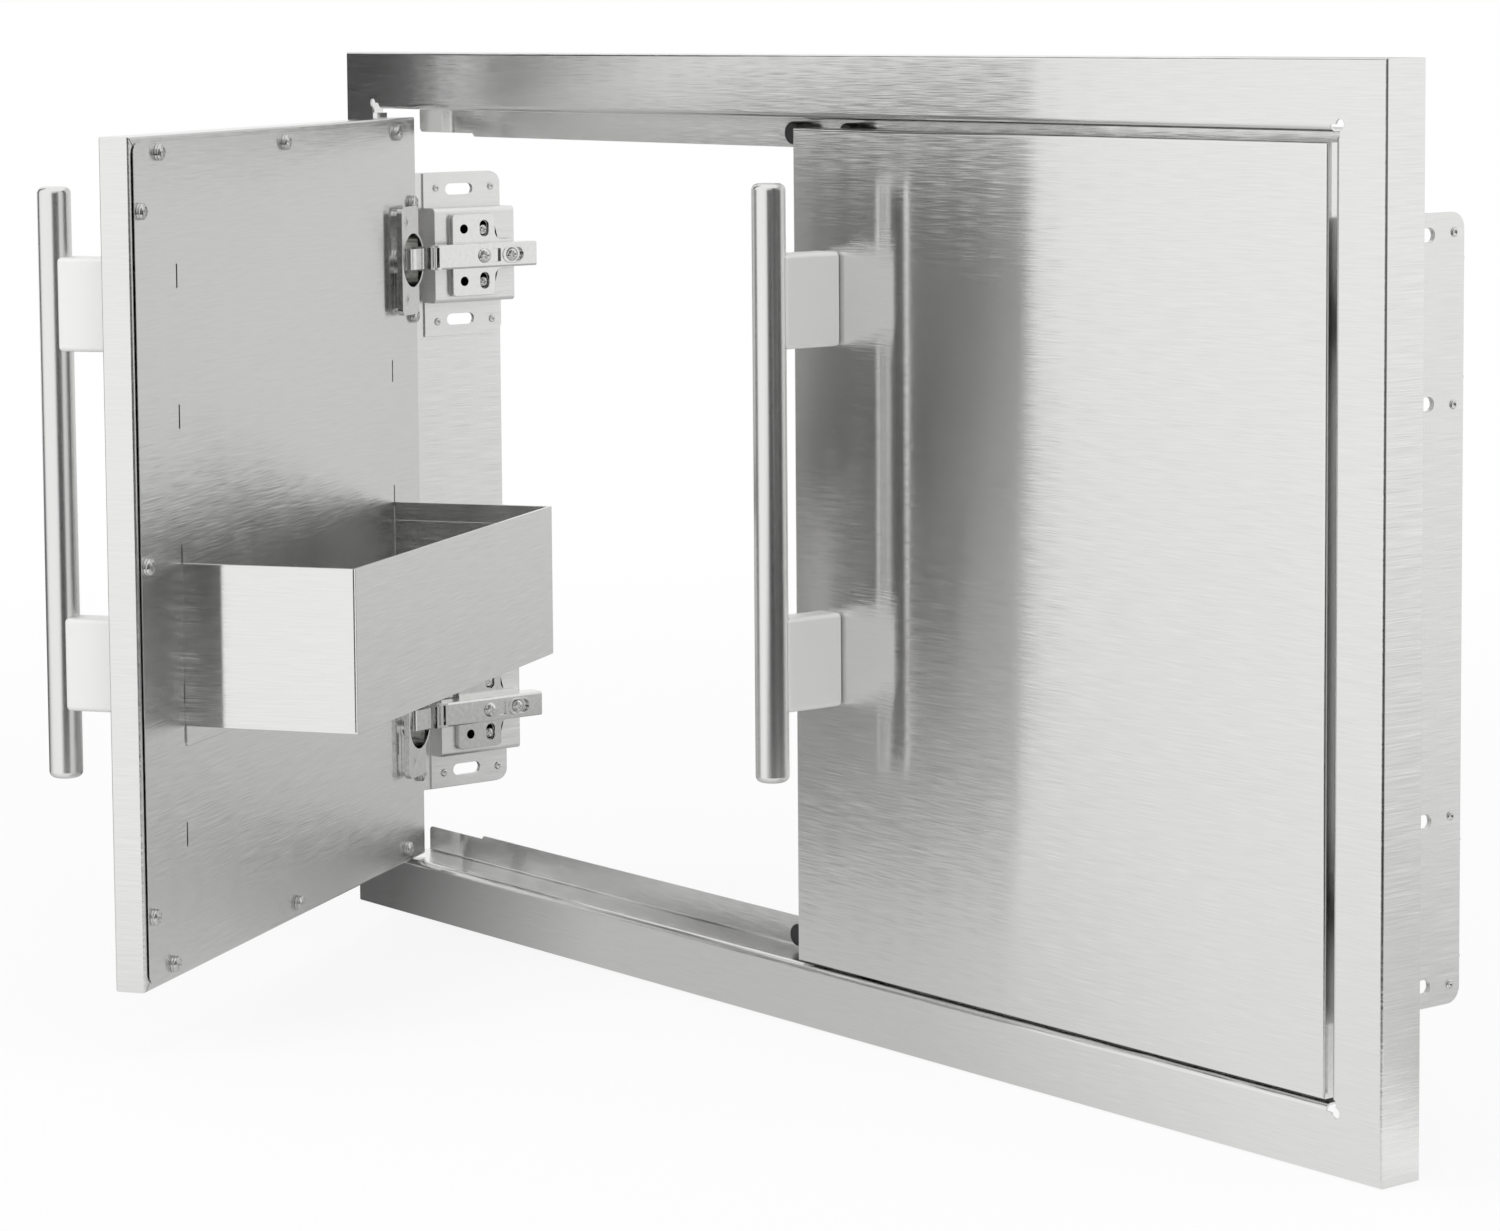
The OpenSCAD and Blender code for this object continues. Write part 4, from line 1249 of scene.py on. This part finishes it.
CARDS = (
    Card("far_left_card", (-4.43, -2.45, 3.0), (3.6, 9.0), 127.7, FAR_LEFT),
    Card("left_floor_card", (-1.88, -1.07, 0.25 * MM), (2.6, 5.0), 127.7, LEFT_FLOOR, lying=True),
    Card("camera_card", (3.0, -1.99, 1.4), (2.15, 4.4), 56.5, CAMERA_SIDE, upward=True),
    Card("camera_floor_card", (1.65, -1.03, 0.4 * MM), (1.4, 2.7), 58.0, CAMERA_FLOOR, lying=True),
    Card("right_side_card", (3.17, 0.45, 1.0), (2.9, 3.2), 98.0, RIGHT_SIDE),
    Card("right_side_floor_card", (2.18, 0.31, 0.3 * MM), (1.9, 2.0), 98.0, RIGHT_SIDE, lying=True),
    Card("rear_card", (-0.6, 2.6, 0.8), (3.6, 4.0), 0.0, REAR),
    Card("rear_floor_card", (-0.6, 1.4, 0.35 * MM), (2.4, 2.6), 0.0, REAR_FLOOR, upward=True, lying=True),
    Card("right_rear_card", (2.6, 2.4, 0.1), (2.4, 0.9), -47.0, RIGHT_REAR, upward=True),
    Card(
        "right_rear_floor_card",
        (1.5, 1.3, 0.35 * MM),
        (1.4, 2.8),
        137.0,
        RIGHT_REAR_FLOOR,
        upward=True,
        lying=True,
    ),
)


@dataclass
class Studio:
    """The floor, the white backdrop, the lamps and the reflector cards."""

    floor_size: float = 9.0
    floor_drop: float = 0.5 * MM
    paper: str = "#F4F4F4"
    paper_roughness: float = 0.8
    sky_strength: float = 0.62
    shadow_share: float = 0.14
    shadow_from: float = 0.5
    shadow_to: float = 2.0

    def build(self) -> None:
        """Builds the whole studio."""
        low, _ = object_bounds()
        floor = low.z - self.floor_drop
        self._backdrop()
        self._floor(floor)
        for lamp in LAMPS:
            lamp.build()
        for card in CARDS:
            card.build(floor)
        LOG.info("studio: %d lamps and %d cards", len(LAMPS), len(CARDS))

    def _seen(self, tree: Tree) -> Node:
        """Adds the factor that is 1 where the backdrop is seen, straight or in a reflection.

        Args:
            tree: the node tree to add it to.

        Returns:
            The node that gives the factor.
        """
        rays = add_node(tree, "LightPath").outputs
        glossy, through = rays["Is Glossy Ray"], rays["Is Transmission Ray"]
        mirrored = add_node(tree, "Math", {0: glossy, 1: through}, operation="ADD")
        either = {0: rays["Is Camera Ray"], 1: mirrored}
        return add_node(tree, "Math", either, operation="ADD", use_clamp=True)

    def _backdrop(self) -> None:
        """Makes the world: white where it is seen, and a plain soft light elsewhere."""
        world = bpy.data.worlds.new("white_backdrop")
        bpy.context.scene.world = world
        world.use_nodes = True
        tree = world.node_tree
        tree.nodes.clear()
        light, white = (
            add_node(tree, "Background", {"Color": (1, 1, 1, 1), "Strength": strength})
            for strength in (self.sky_strength, 1.0)
        )
        both = add_node(tree, "MixShader", {0: self._seen(tree), 1: light, 2: white})
        add_node(tree, "OutputWorld", {"Surface": both})

    def _floor(self, height: float) -> None:
        """Lays the pale floor under the object, which keeps a faint shadow.

        Args:
            height: the height of the floor.
        """
        made, tree = new_material("white_paper_floor")
        shader = tree.nodes[SHADER]
        fill(tree, shader, {"Roughness": self.paper_roughness, "Base Color": linear(self.paper)})
        glow = add_node(tree, "Emission", {"Color": (1, 1, 1, 1), "Strength": 1.0})
        place = add_node(tree, "TexCoord").outputs["Object"]
        away = add_node(tree, "VectorMath", {0: place}, operation="LENGTH")
        reach = {"Value": away.outputs["Value"], "From Min": self.shadow_from, "From Max": self.shadow_to}
        glowing = {"To Min": 1 - self.shadow_share, "To Max": 1.0}
        white = add_node(tree, "MapRange", {**reach, **glowing})
        share = add_node(tree, "Math", {0: self._seen(tree), 1: white}, operation="MULTIPLY")
        both = add_node(tree, "MixShader", {0: share, 1: shader, 2: glow})
        fill(tree, tree.nodes["Material Output"], {"Surface": both})
        half = self.floor_size / 2
        signs = ((-1, -1), (1, -1), (1, 1), (-1, 1))
        studio_sheet("floor", [(half * x, half * y, height) for x, y in signs], made)


@dataclass(frozen=True)
class StudioCamera:
    """The photograph's camera, found from points of the frame, the doors and the hinges."""

    place: Place = (1.7988191, -1.47558888, 0.28756749)
    yaw_degrees: float = 51.69593
    pitch_degrees: float = 5.11574
    roll_degrees: float = 0.44519
    lens_mm: float = 103.82229
    sensor_mm: float = 36.0
    shift_up: float = -0.147

    def build(self) -> None:
        """Builds the camera and makes it the scene's."""
        yaw, pitch = math.radians(self.yaw_degrees), math.radians(self.pitch_degrees)
        ahead = Vector(
            (-math.sin(yaw) * math.cos(pitch), math.cos(yaw) * math.cos(pitch), -math.sin(pitch))
        )
        across = Vector((math.cos(yaw), math.sin(yaw), 0))
        down = ahead.cross(across)
        roll = math.radians(self.roll_degrees)
        right = across * math.cos(roll) + down * math.sin(roll)
        below = down * math.cos(roll) - across * math.sin(roll)
        turn = Matrix((right, -below, -ahead)).transposed().to_4x4()
        lens = bpy.data.cameras.new("studio_camera")
        lens.lens = self.lens_mm
        lens.sensor_width = self.sensor_mm
        lens.shift_y = self.shift_up
        camera = new_object("studio_camera", lens)
        camera.matrix_world = Matrix.Translation(self.place) @ turn
        bpy.context.scene.camera = camera


@dataclass
class Finishes:
    """The finishes of the object, each made once."""

    sheet: Material
    panel: Material
    bar: Material
    post: Material
    bracket: Material
    nickel: Material
    screw: Material
    rubber: Material

    @classmethod
    def make(cls) -> "Finishes":
        """Makes every finish.

        Returns:
            The set of materials.
        """
        tube = SatinSteel("satin_polished_tube", "#EBEBEA", "#E3E3E2", 0.24, 0.03, 0.5, 0.002)
        casting = SatinSteel(
            "bead_blasted_casting", "#F4F4F3", "#ECECEB", 0.42, 0.06, 0.45, 0.02, metallic=0.35
        )
        mill = BrushedSheet("mill_finish_steel", "#EFEFEE", "#E4E4E3", roughness=0.3, anisotropy=0.6)
        return cls(
            sheet=BrushedSheet().material(),
            panel=BrushedSheet("brushed_back_panel", roughness=0.19).material(),
            bar=tube.material(),
            post=casting.material(),
            bracket=mill.material(),
            nickel=PlatedSteel("nickel_plated_steel", "#E9E9E7", "#D2D2D0", 0.12, 0.08, 2.5).material(),
            screw=PlatedSteel("passivated_screw_steel", "#DCDCDB", "#C2C2C0", 0.14, 0.08, 1.5).material(),
            rubber=MouldedRubber().material(),
        )

    def by_slot(self, slot: str) -> Material:
        """Finds the finish of one of the record's material slots.

        Args:
            slot: the slot's name.

        Returns:
            The material.
        """
        return {
            "brushed_stainless": self.sheet,
            "bracket_steel": self.bracket,
            "hinge_nickel": self.nickel,
            "screw_steel": self.screw,
            "bumper_rubber": self.rubber,
        }[slot]


def opening_of(side: Side) -> float:
    """Finds how far a door stands open at rest, from the range of its joint.

    Args:
        side: the door.

    Returns:
        The angle in degrees.
    """
    swings = [joint for joint in frame["joints"] if joint["name"] == f"{side.value}_door_swing"]
    return -min(swings[0]["range_deg"])


def main() -> None:
    """Builds the camera, the studio and every piece, and reports each."""
    logging.basicConfig(level=logging.INFO, format="%(message)s")
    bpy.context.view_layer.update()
    bpy.context.scene.view_settings.view_transform = "Standard"
    StudioCamera().build()
    Studio().build()
    finishes = Finishes.make()
    for node in frame["nodes"].values():
        for slot in node.material_slots:
            slot.material = finishes.by_slot(slot.material.name)
    FaceFrame().build(finishes)
    SideIron().build(finishes)
    HingeSet().build(finishes)
    for side in Side:
        Door(side, opening_of(side)).build(finishes)
    Tray().build(finishes)


if __name__ == "__main__":
    main()
